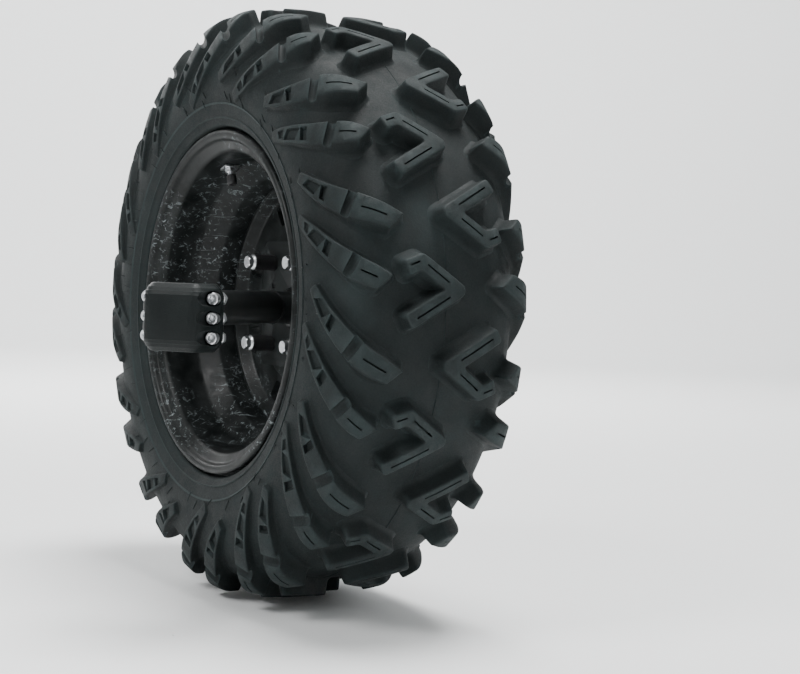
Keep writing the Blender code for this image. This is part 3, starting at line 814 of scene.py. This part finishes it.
def hair_points(random_source):
    """Vent hairs left by the mould: short thin whiskers on the sidewall and lug ends."""
    points, faces = [], []
    total = 0
    sides = HAIR_SIDES
    for side in (1, -1):
        for ring_t, count in HAIR_RINGS:
            for number in range(count):
                theta = TAU * (number + random_source.uniform(-0.3, 0.3)) / count
                t = (ring_t + random_source.uniform(-0.006, 0.004)) * side
                _, _, low_r, low_z = section_at(np.array([t]))
                base = np.array([low_r[0] * math.cos(theta), low_r[0] * math.sin(theta), low_z[0]])
                along = np.array([math.cos(theta), math.sin(theta), 0])
                along += np.array([-math.sin(theta), math.cos(theta), 0]) * random_source.uniform(-0.3, 0.3)
                away = np.array([0, 0, float(side)])
                lean = random_source.uniform(1.0, 2.6)
                length = random_source.uniform(0.006, 0.010)
                direction = away + along * lean
                direction /= np.linalg.norm(direction)
                across = np.cross(direction, np.array([-math.sin(theta), math.cos(theta), 0]))
                across /= np.linalg.norm(across)
                upright = np.cross(across, direction)
                for share, radius in HAIR_TAPER:
                    centre = base + direction * length * share + along * 0.0015 * share * share
                    for step in range(sides):
                        turn = TAU * step / sides
                        points.append(centre + radius * (across * math.cos(turn) + upright * math.sin(turn)))
                faces += [tuple(vertex + total for vertex in face) for face in ring_faces(3, sides)]
                faces.append(tuple(total + step for step in reversed(range(sides))))
                faces.append(tuple(total + 2 * sides + step for step in range(sides)))
                total += 3 * sides
    return np.array(points), faces


def build_tire():
    points, faces = tread_points()
    casing = lathe("tire_casing_mesh", [tuple(row) for row in casing_profile()], 288)
    parts = [casing] + mould_lines()
    hair, hair_faces = hair_points(random.Random(HAIR_SEED))
    bm = bmesh.new()
    for mesh in parts:
        bm.from_mesh(mesh)
    for rows, quads in ((points, faces), (hair, hair_faces)):
        verts = [bm.verts.new(tuple(row)) for row in rows]
        for quad in quads:
            bm.faces.new([verts[index] for index in quad])
    mesh = bpy.data.meshes.new("tire_visual")
    bm.normal_update()
    bm.to_mesh(mesh)
    bm.free()
    finish_mesh(mesh, 38)
    moved(mesh, WHEEL)
    place(new_object("tire_detailed", mesh, (RUBBER,)), "wheel", "tire_rubber", *TIRE_NODES)


# ---- Wheel ----
RIM_HALF = 0.1085
LIP_R = 0.1985
DROP_R = 0.149
HUB_BORE_R = 0.055
HUB_PAD = 0.016                     # thickness of the pad that the plate bears on
WINDOWS = 8
WINDOW_R = 0.118
WINDOW = [(-0.013, -0.012), (0.013, -0.018), (0.013, 0.018), (-0.013, 0.012)]
STUD_HOLE_R = 0.00625
VALVE_BORE_R = 0.0044
GAP = 0.0003                        # between pieces that bear on each other


def barrel_profile():
    """Section of the rim barrel with a rolled lip, (radius, z)."""
    half = RIM_HALF
    lip_outer = [(LIP_R - 0.0042, half), (LIP_R - 0.0016, half - 0.0008), (LIP_R - 0.0002, half - 0.0030),
                 (LIP_R - 0.0004, half - 0.0062), (LIP_R - 0.0030, half - 0.0086)]
    outside = [(0.1850, half - 0.0105), (0.1800, half - 0.0135), (0.1785, half - 0.0180),
               (0.1772, half - 0.0540), (0.1740, half - 0.0585), (0.1575, half - 0.0720),
               (0.1540, half - 0.0780)]
    inside = [(DROP_R, half - 0.0790), (0.1510, half - 0.0745), (0.1690, half - 0.0590),
              (0.1718, half - 0.0550), (0.1728, half - 0.0350), (0.1734, half - 0.0180),
              (0.1742, half - 0.0150), (0.1780, half - 0.0112), (0.1842, half - 0.0090),
              (0.1862, half - 0.0068), (0.1872, half - 0.0038), (0.1888, half - 0.0014),
              (0.1912, half - 0.0003)]
    side = lip_outer + outside
    far_side = [(radius, -z) for radius, z in side[::-1]]
    back = [(radius, -z) for radius, z in inside[::-1]]
    return side + far_side + back + inside


def build_barrel():
    mesh = lathe("barrel", barrel_profile(), 256, angle=50)
    barrel = new_object("wheel_barrel_detailed", moved(mesh, WHEEL), (WHEEL_PAINT,))
    hole = drill(VALVE_BORE_R, -0.02, 0.02)
    hole.data.transform(VALVE)
    boolean(barrel, [hole])
    finish_mesh(barrel.data, 50)
    place(barrel, "wheel", "wheel_paint", *nodes_like("wheel_barrel"))


def bolt_places():
    """The four bolts in wheel coordinates."""
    points = [WHEEL_BACK @ Vector(JOINTS[f"lug_nut_{number}_turn"]["pos_m"]) for number in range(1, 5)]
    return [(point.x, point.y) for point in points]


def disc_profile(back, front):
    """Wheel centre with its hub pad and dish; back and front are the hub pad's faces, z inboard."""
    edge = DROP_R - 0.0007
    return [(edge, front - 0.006), (edge, back + 0.0085), (edge - 0.0012, back + 0.010),
            (edge - 0.0048, back + 0.010), (edge - 0.0062, back + 0.0088),
            (edge - 0.0100, back - 0.0020), (edge - 0.0125, back - 0.0040), (0.0975, back - 0.0040),
            (0.0945, back - 0.0032), (0.0932, back - 0.0004), (0.0925, back),
            (HUB_BORE_R + 0.0008, back), (HUB_BORE_R, back - 0.0008),
            (HUB_BORE_R, front + 0.0008), (HUB_BORE_R + 0.0008, front),
            (0.0950, front), (0.1000, front - 0.0008), (0.1330, front - 0.0055),
            (edge - 0.008, front - 0.006)]


def build_disc():
    back = along_wheel("wheel_plate")[0] - GAP
    front = back - HUB_PAD
    disc = new_object("wheel_disc_detailed", lathe("disc", disc_profile(back, front), 192), (WHEEL_PAINT,))
    cutters = []
    for index in range(WINDOWS):
        angle = TAU * (index + 0.5) / WINDOWS
        outline = round_corners(WINDOW, 0.005, 4)
        turn = np.array([[math.cos(angle), -math.sin(angle)], [math.sin(angle), math.cos(angle)]])
        shaped = outline @ turn.T + np.array([WINDOW_R * math.cos(angle), WINDOW_R * math.sin(angle)])
        cutters.append(new_object("window", slab("window", shaped, (front - 0.03, back + 0.03))))
    cutters += [drill(STUD_HOLE_R, front - 0.02, back + 0.02, x, y) for x, y in bolt_places()]
    boolean(disc, cutters)
    soften(disc, 0.0009)
    moved(disc.data, WHEEL)
    place(disc, "wheel", "wheel_paint", "wheel_disc")


def node_corners(node):
    return [frame["nodes"][node].matrix_world @ vert.co for vert in frame["nodes"][node].data.vertices]


# ---- Wheel fasteners ----
def along_wheel(node):
    """Lowest and highest z of a node in wheel coordinates."""
    depths = [(WHEEL_BACK @ corner).z for corner in node_corners(node)]
    return min(depths), max(depths)


def thread(radius, start, end, pitch, depth):
    """Levels of a turned thread-like ripple, without the helix."""
    rows = []
    count = int(abs(end - start) / pitch)
    for turn in range(count):
        base = start + (end - start) * turn / count
        step = (end - start) / count
        rows += [(radius, base), (radius, base + step * 0.3), (radius - depth, base + step * 0.65)]
    rows.append((radius, end))
    return rows


BOLT_R = 0.0050
BOLT_HEAD = 0.0085
BOLT_FLATS = 0.014
FLANGE_R = 0.0095
SPACER_BORE_R = 0.0053
LUG_BORE_R = 0.0052
LUG_FLATS = 0.017


def build_wheel_bolts():
    for number, (x, y) in enumerate(bolt_places(), start=1):
        tip, head_top = along_wheel(f"wheel_bolt_{number}")
        seat = head_top - BOLT_HEAD
        levels = [(None, 0.0001, head_top), (None, 0.0060, head_top), (BOLT_FLATS, 0.0070, head_top),
                  (BOLT_FLATS, 0.0078, head_top - 0.0007), (BOLT_FLATS, 0.0090, head_top - 0.0018),
                  (BOLT_FLATS, 0.0090, seat + 0.0026), (None, 0.0084, seat + 0.0021),
                  (None, 0.0092, seat + 0.0011), (None, FLANGE_R, seat + 0.0006), (None, FLANGE_R, seat)]
        shank = [(BOLT_R, seat), (BOLT_R, tip + 0.028)]
        shank += thread(BOLT_R, tip + 0.028, tip + 0.0012, 0.00125, 0.0005)
        levels += [(None, radius, z) for radius, z in shank + [(0.0040, tip)]]
        stand_for(f"wheel_bolt_{number}", at_bolt(turned_hex("bolt", levels, 60), x, y), ZINC, "carrier")


def build_spacers():
    for number, (x, y) in enumerate(bolt_places(), start=1):
        low, high = along_wheel(f"spacer_{number}")
        outer, inner = FLANGE_R, SPACER_BORE_R
        profile = [(inner, low), (outer - 0.0006, low), (outer, low + 0.0006), (outer, high - 0.0006),
                   (outer - 0.0006, high), (inner, high)]
        stand_for(f"spacer_{number}", at_bolt(lathe("spacer", profile, 64), x, y), SPACER, "carrier")


def build_lug_nuts():
    for number, (x, y) in enumerate(bolt_places(), start=1):
        end, seat = along_wheel(f"lug_nut_{number}")
        levels = [(None, LUG_BORE_R, seat), (None, 0.0078, seat), (None, 0.0112, seat - 0.0032),
                  (None, 0.0112, seat - 0.0042), (LUG_FLATS, 0.0106, seat - 0.0052),
                  (LUG_FLATS, 0.0110, seat - 0.0060), (LUG_FLATS, 0.0110, end + 0.0022),
                  (LUG_FLATS, 0.0092, end + 0.0006), (LUG_FLATS, 0.0082, end),
                  (None, LUG_BORE_R + 0.0008, end), (None, LUG_BORE_R, end + 0.0008)]
        node = f"lug_nut_{number}"
        stand_for(node, at_bolt(turned_hex("lug", levels, 60, loop=True), x, y), ZINC, node)


# ---- Valve ----
VALVE_INWARD = Vector(JOINTS["valve_cap_turn"]["axis"]).normalized()
VALVE_SEAT = Vector(JOINTS["valve_cap_turn"]["pos_m"])
VALVE = axes_matrix(OUTWARD.cross(VALVE_INWARD).normalized(), OUTWARD, VALVE_INWARD, VALVE_SEAT)


VALVE_CAP_R = 0.0058
KNURL_STEPS = 96
CAP_KNURL = 0.00035


def knurled(radius, depth):
    """Radius at each step of a circle, cut back on every other pair of steps."""
    return lambda step: radius - (depth if step % 4 in (2, 3) else 0.0)


def build_valve():
    stem_r = 0.0041
    stem = [(0.0001, -0.0074), (0.0064, -0.0074), (0.0070, -0.0068), (0.0070, -0.0060),
            (stem_r, -0.0055), (stem_r, 0.0075)]
    stem += thread(stem_r, 0.0078, 0.0192, 0.0009, 0.0004)
    stem += [(stem_r - 0.0006, 0.0199), (0.0001, 0.0199)]
    stand_for("valve_stem", moved(lathe("stem", stem, 48, loop=False), VALVE), ZINC, "wheel")

    outline = round_corners(rectangle(0.0075, 0.0100), 0.0014, 4)
    plate = new_object("valve_plate_detailed", slab("plate", outline, (0.0014, 0.0034)), (ZINC,))
    boolean(plate, [drill(VALVE_BORE_R, -0.01, 0.01, steps=40)])
    soften(plate, 0.0004)
    moved(plate.data, VALVE)
    place(plate, "wheel", "zinc_plate", "valve_plate")

    levels = [(None, VALVE_BORE_R, 0.0037), (None, 0.0058, 0.0037), (0.012, 0.0066, 0.0040),
              (0.012, 0.0080, 0.0048), (0.012, 0.0080, 0.0076), (0.012, 0.0066, 0.0084),
              (None, 0.0058, 0.0087), (None, VALVE_BORE_R, 0.0087)]
    stand_for("valve_nut", moved(turned_hex("nut", levels, 60, loop=True), VALVE), ZINC, "wheel")

    low, high = 0.0122, 0.0240
    outer, inner = VALVE_CAP_R, VALVE_BORE_R
    rings = []
    for radius, z, knurl in ((inner, low, 0), (outer - 0.0003, low, 0), (outer, low + 0.0004, 0),
                             (outer, low + 0.0016, 0), (outer, low + 0.0020, 1), (outer, high - 0.0026, 1),
                             (outer - 0.0001, high - 0.0022, 0), (outer - 0.0006, high - 0.0006, 0),
                             (outer - 0.0014, high, 0), (0.0001, high, 0), (0.0001, 0.0203, 0),
                             (inner, 0.0203, 0)):
        rings.append(circle(knurled(radius, CAP_KNURL * knurl), z, KNURL_STEPS))
    stand_for("valve_cap", moved(loft("cap", rings, loop=True), VALVE), PLASTIC, "valve_cap")


# ---- Arm, beads and wheel plate ----
ARM_R = 0.01905
ARM_WALL = 0.0032
ARM_STRAIGHT = 0.012                # from the last ring of the straight run to the bend
BEAD_R = 0.0040
BEAD_RIPPLES = 60
BEAD_LIFT = 0.0006                  # how far a bead's middle stands off the arm
FORWARD = Vector((0, 1, 0))
ARM_AXIS_Z = middle("arm_weld_clamp").z


def arm_bend():
    """Where the arm's centre line meets the line parallel to the wheel axis."""
    across_offset = WHEEL_CENTRE.x / OUTWARD.x
    return Vector((0, (WHEEL_CENTRE - OUTWARD * across_offset).y, ARM_AXIS_Z))


def stub_end(bend, gap):
    """Where the stub stops, a gap short of the wheel plate."""
    return bend + OUTWARD * ((WHEEL_BACK @ bend).z - along_wheel("wheel_plate")[1] - gap)


def build_arm():
    bend = arm_bend()
    end = stub_end(bend, GAP)
    mitre = (FORWARD + OUTWARD).normalized()
    rings = []

    def ring(centre, axis, radius, plane):
        side = axis.cross(UP).normalized()
        made = []
        for x, y, _ in circle(1, 0, 96):
            spot = centre + (side * x + UP * y) * radius
            shift = (centre - spot).dot(plane) / axis.dot(plane)
            made.append(tuple(spot + axis * shift))
        return made

    start = Vector((0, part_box("arm_tube")[0][1], ARM_AXIS_Z))
    for radius, reverse in ((ARM_R, False), (ARM_R - ARM_WALL, True)):
        run = [ring(start, FORWARD, radius, FORWARD),
               ring(bend - FORWARD * ARM_STRAIGHT, FORWARD, radius, FORWARD),
               ring(bend, FORWARD, radius, mitre), ring(end, OUTWARD, radius, OUTWARD)]
        rings += run[::-1] if reverse else run
    stand_for("arm_tube", loft("arm", rings, loop=True, angle=25), STEEL, "carrier")

    bead = weld_ring(lambda turn: bend_point(bend, mitre, turn), lambda turn: mitre, 0.0013, 84, 0.45)
    place(new_object("arm_bend_weld", bead, (STEEL,)), "carrier", "black_steel")


def bend_point(bend, mitre, turn):
    """Point on the outer line where the two straight stretches meet."""
    side = FORWARD.cross(UP)
    spot = bend + (side * math.cos(turn) + UP * math.sin(turn)) * ARM_R
    return spot + FORWARD * ((bend - spot).dot(mitre) / FORWARD.dot(mitre))


def weld_ring(centre_at, axis_at, size, ripples, flatness, steps=480):
    """A rippled bead round a closed line; flatness lowers it into the surface."""
    rings = []
    middle_point = sum((centre_at(TAU * step / 24) for step in range(24)), Vector()) / 24
    for step in range(steps):
        turn = TAU * step / steps
        centre = centre_at(turn)
        away = (centre - middle_point)
        axis = axis_at(turn)
        away = (away - axis * away.dot(axis)).normalized()
        phase = (turn / TAU * ripples) % 1.0
        swell = size * (1.0 + 0.16 * (1 - phase) + 0.05 * math.sin(turn * 7) + 0.04 * math.sin(turn * 17))
        centre = centre - away * size * flatness
        rings.append([tuple(centre + (away * x + axis * y) * swell) for x, y, _ in circle(1, 0, 12)])
    return loft("bead", rings, loop=True, angle=70)


def build_beads():
    foot = Vector((0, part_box("arm_weld_clamp")[0][1], ARM_AXIS_Z))
    for node, middle_point, across, normal in (
            ("arm_weld_clamp", foot, Vector((1, 0, 0)), FORWARD),
            ("arm_weld_plate", stub_end(arm_bend(), 0.0002), ACROSS, -OUTWARD)):
        def centre_at(turn):
            return middle_point + (across * math.cos(turn) + UP * math.sin(turn)) * (ARM_R + BEAD_LIFT)

        bead = weld_ring(centre_at, lambda turn: normal, BEAD_R, BEAD_RIPPLES, 0.0)
        clip_bead(bead, middle_point, normal)
        stand_for(node, bead, STEEL, "carrier")


def clip_bead(mesh, point, normal):
    """Flatten the side of a bead that lies in the face it is welded to."""
    for vert in mesh.vertices:
        depth = (vert.co - point).dot(normal)
        if depth < 0.0001:
            vert.co += normal * (0.0001 - depth)


PLATE_HALF = 0.075
PLATE_CORNER = 0.014
PLATE_BOLT_HOLE_R = 0.0054
PLATE_SPARE_HOLE_R = 0.0045


def build_plate():
    low, high = along_wheel("wheel_plate")
    outline = round_corners(rectangle(PLATE_HALF, PLATE_HALF), PLATE_CORNER, 10)
    plate = new_object("wheel_plate_detailed", slab("plate", outline, (low, high)), (STEEL,))
    holes = [(x, y, PLATE_BOLT_HOLE_R) for x, y in bolt_places()]
    holes += [(x, y, PLATE_SPARE_HOLE_R) for x in (-0.048, 0.048) for y in (-0.022, 0.022)]
    boolean(plate, [drill(radius, low - 0.01, high + 0.01, x, y) for x, y, radius in holes])
    soften(plate, 0.0006)
    moved(plate.data, WHEEL)
    place(plate, "carrier", "black_steel", "wheel_plate")


# ---- Clamp ----
CLAMP_HALF_WIDTH = 0.0425
CLAMP_HALF_HEIGHT = 0.035
CLAMP_DEPTH = 0.035
FACE_HALF = 0.030
FLANK_FOOT = 0.0040                 # depth at which the flanks start
SPLIT = 0.0005
BORE_R = 0.0257
SCREW_SEAT = 0.0045
SCREW_X = 0.0365
SCREW_PITCH = 0.020
SCREW_HOLE_R = 0.0043
SCREW_R = 0.0040
SCREW_HEAD_R = 0.0065
SCREW_HEAD = 0.008
SCREW_KNURL = 0.00022
NUT_FLATS = 0.013
# height below the top edge, and how far the outline steps in there
BAND_STEPS = [(0.0118, 0.0), (0.0114, 0.0006), (0.0082, 0.0016), (0.0078, 0.0024), (0.0044, 0.0040),
              (0.0040, 0.0048), (0.0008, 0.0076), (0.0, 0.0090)]


def clamp_half(name, side):
    """One half of the clamp, with stepped bands along its top and bottom edges."""
    outer = [(-CLAMP_HALF_WIDTH, SPLIT), (-CLAMP_HALF_WIDTH, FLANK_FOOT), (-FACE_HALF, CLAMP_DEPTH),
             (FACE_HALF, CLAMP_DEPTH), (CLAMP_HALF_WIDTH, FLANK_FOOT), (CLAMP_HALF_WIDTH, SPLIT)]
    flank = np.array(outer[2]) - np.array(outer[1])
    rounded = round_corners(outer, 0.34 * np.linalg.norm(flank), 8)
    points = np.array([outer[0]] + [tuple(point) for point in rounded if point[1] > 0.0030] + [outer[-1]])
    ahead = np.gradient(points, axis=0)
    inward = np.stack([ahead[:, 1], -ahead[:, 0]], axis=1)
    inward /= np.linalg.norm(inward, axis=1)[:, None]
    inward[0] = (1, 0)
    inward[-1] = (-1, 0)
    start = math.asin(SPLIT / BORE_R)
    turns = [start + (math.pi - 2 * start) * step / 40 for step in range(41)]
    arc = [(BORE_R * math.cos(turn), BORE_R * math.sin(turn)) for turn in turns]
    rings = []
    levels = [(-CLAMP_HALF_HEIGHT + rise, step_in) for rise, step_in in BAND_STEPS[::-1]]
    levels += [(CLAMP_HALF_HEIGHT - drop, step_in) for drop, step_in in BAND_STEPS]
    for z, step_in in levels:
        outline = [tuple(row) for row in points + inward * step_in] + arc
        rings.append([(x, side * y, z) for x, y in outline])
    half = new_object(name, loft(name, rings), (POWDER,))
    cutters = []
    seat_r = 0.00775 if side < 0 else 0.0085
    turn = Matrix.Rotation(-side * math.pi / 2, 4, "X")
    for x in (-SCREW_X, SCREW_X):
        for row in (-SCREW_PITCH, 0.0, SCREW_PITCH):
            for cutter in (drill(SCREW_HOLE_R, -0.06, 0.06), drill(seat_r, SCREW_SEAT, 0.06, steps=48)):
                cutter.data.transform(Matrix.Translation((x, 0, row)) @ turn)
                cutters.append(cutter)
    boolean(half, cutters)
    soften(half, 0.0005, 2, 30)
    return half


def build_clamp():
    place(clamp_half("clamp_front_detailed", -1), "clamp_cap", "powder_coat", "clamp_front")
    place(clamp_half("clamp_rear_detailed", 1), "carrier", "powder_coat", "clamp_rear")


def socket_screw():
    """M8 socket head screw along z, pointing to +z, with knurled head and hexagon socket."""
    head_top = -SCREW_SEAT - GAP - SCREW_HEAD
    seat = -SCREW_SEAT - GAP

    def socket(size):
        return lambda step: hex_reach(TAU * step / KNURL_STEPS, size * 2)

    def grip(size):
        return knurled(size, SCREW_KNURL)

    levels = [(0.0006, head_top + 0.0052), (socket(0.0030), head_top + 0.0043),
              (socket(0.0031), head_top + 0.0004), (0.0040, head_top), (0.0056, head_top),
              (0.0062, head_top + 0.0004), (0.0064, head_top + 0.0012),
              (grip(SCREW_HEAD_R), head_top + 0.0016), (grip(SCREW_HEAD_R), seat - 0.0012),
              (0.0064, seat - 0.0008), (0.0063, seat), (SCREW_R, seat), (SCREW_R, 0.004)]
    levels += thread(SCREW_R, 0.004, 0.0132, 0.00125, 0.00045) + [(0.0034, 0.0143)]
    return loft("screw", [circle(radius, z, KNURL_STEPS) for radius, z in levels])


def build_clamp_fasteners():
    turn = Matrix.Rotation(-math.pi / 2, 4, "X")
    nut_levels = [(flats, radius, SCREW_SEAT + rise) for flats, radius, rise in (
        (None, SCREW_HOLE_R, 0.0003), (None, 0.0060, 0.0003), (NUT_FLATS, 0.0068, 0.0007),
        (NUT_FLATS, 0.0080, 0.0014), (NUT_FLATS, 0.0080, 0.0060), (NUT_FLATS, 0.0068, 0.0067),
        (None, 0.0060, 0.0071), (None, 0.0049, 0.0071), (None, SCREW_HOLE_R, 0.0065))]
    for side in ("left", "right"):
        for number in (1, 2, 3):
            for kind, body in (("screw", "clamp_cap"), ("nut", "carrier")):
                node = f"clamp_{kind}_{side}_{number}"
                centre = middle(node)
                mesh = socket_screw() if kind == "screw" else turned_hex("nut", nut_levels, 60, loop=True)
                mesh.transform(Matrix.Translation((centre.x, 0, centre.z)) @ turn
                               @ Matrix.Rotation(0.35 * number + (0.5 if side == "left" else 0.0), 4, "Z"))
                stand_for(node, mesh, ZINC, body)


# ---- Stage, light and camera ----
def stage_material():
    made = Nodes("stage", (0.80, 0.81, 0.81), 0.7)
    made.roughness(made.value_ramp(made.noise(6, 2), 0.3, 0.7, 0.66, 0.76))
    return made.material


FLOOR_R = 6.0
COVE_R = 2.0
BACKDROP_TOP = 7.0


def build_stage():
    """A pale floor that curves up into a backdrop on every side."""
    floor_z = TIRE_BOX[0].z - 0.0015
    profile = [(0.001, 0.0), (1.5, 0.0), (4.0, 0.0), (FLOOR_R, 0.0)]
    for step in range(1, 13):
        turn = math.pi / 2 * step / 12
        profile.append((FLOOR_R + COVE_R * math.sin(turn), COVE_R - COVE_R * math.cos(turn)))
    profile.append((FLOOR_R + COVE_R, BACKDROP_TOP))
    steps = 72
    points = [point for radius, z in profile for point in circle(radius, z + floor_z, steps)]
    faces = ring_faces(len(profile), steps)
    faces.append(tuple(range(steps)))
    mesh = bpy.data.meshes.new("backdrop")
    mesh.from_pydata(points, [], faces)
    mesh.shade_smooth()
    backdrop = new_object("backdrop", mesh, (stage_material(),))


def area_light(name, location, target, size, power):
    light = bpy.data.lights.new(name, "AREA")
    light.shape = "RECTANGLE"
    light.size, light.size_y = size
    light.energy = power
    made = bpy.data.objects.new(name, light)
    made.location = location
    made.rotation_euler = (Vector(target) - Vector(location)).to_track_quat("-Z", "Y").to_euler()
    bpy.context.scene.collection.objects.link(made)


# name, place, what it points at, size in metres, power in watts
LIGHTS = [("key", (-1.5, -2.0, 2.7), WHEEL_CENTRE, (1.3, 1.3), 100),
          ("top", (0.5, 0.4, 3.2), WHEEL_CENTRE, (1.5, 1.5), 225),
          ("side", (3.0, -0.9, 1.9), WHEEL_CENTRE, (1.0, 1.6), 26),
          ("back", (-2.4, 2.2, 1.8), WHEEL_CENTRE, (1.6, 2.0), 70),
          ("wash", (-1.5, 3.0, 3.2), (-2.6, 7.0, 0.6), (3.0, 2.0), 470)]
SKY_COLOUR = (0.92, 0.95, 0.96, 1)
SKY_STRENGTH = 0.18


def build_light():
    for name, location, target, size, power in LIGHTS:
        area_light(name, location, target, size, power)
    world = bpy.data.worlds.new("studio")
    world.use_nodes = True
    background = world.node_tree.nodes["Background"]
    background.inputs["Color"].default_value = SKY_COLOUR
    background.inputs["Strength"].default_value = SKY_STRENGTH
    bpy.context.scene.world = world


CAMERA_PLACE = (0.6917, -1.5142, 0.0454)
CAMERA_AZIMUTH = math.radians(16.83)
CAMERA_DROP = math.radians(2.0)
CAMERA_ROLL = math.radians(2.2)
CAMERA_LENS = 72.0


def build_camera():
    camera = bpy.data.cameras.new("camera")
    camera.lens = CAMERA_LENS
    camera.sensor_width = 36.0
    camera.clip_start = 0.05
    made = bpy.data.objects.new("camera", camera)
    made.matrix_world = (Matrix.Translation(CAMERA_PLACE)
                         @ Matrix.Rotation(CAMERA_AZIMUTH, 4, "Z")
                         @ Matrix.Rotation(math.pi / 2 - CAMERA_DROP, 4, "X")
                         @ Matrix.Rotation(CAMERA_ROLL, 4, "Z"))
    bpy.context.scene.collection.objects.link(made)
    bpy.context.scene.camera = made


build_camera()
build_tire()
build_barrel()
build_disc()
build_wheel_bolts()
build_spacers()
build_lug_nuts()
build_valve()
build_arm()
build_beads()
build_plate()
build_clamp()
build_clamp_fasteners()
build_stage()
build_light()
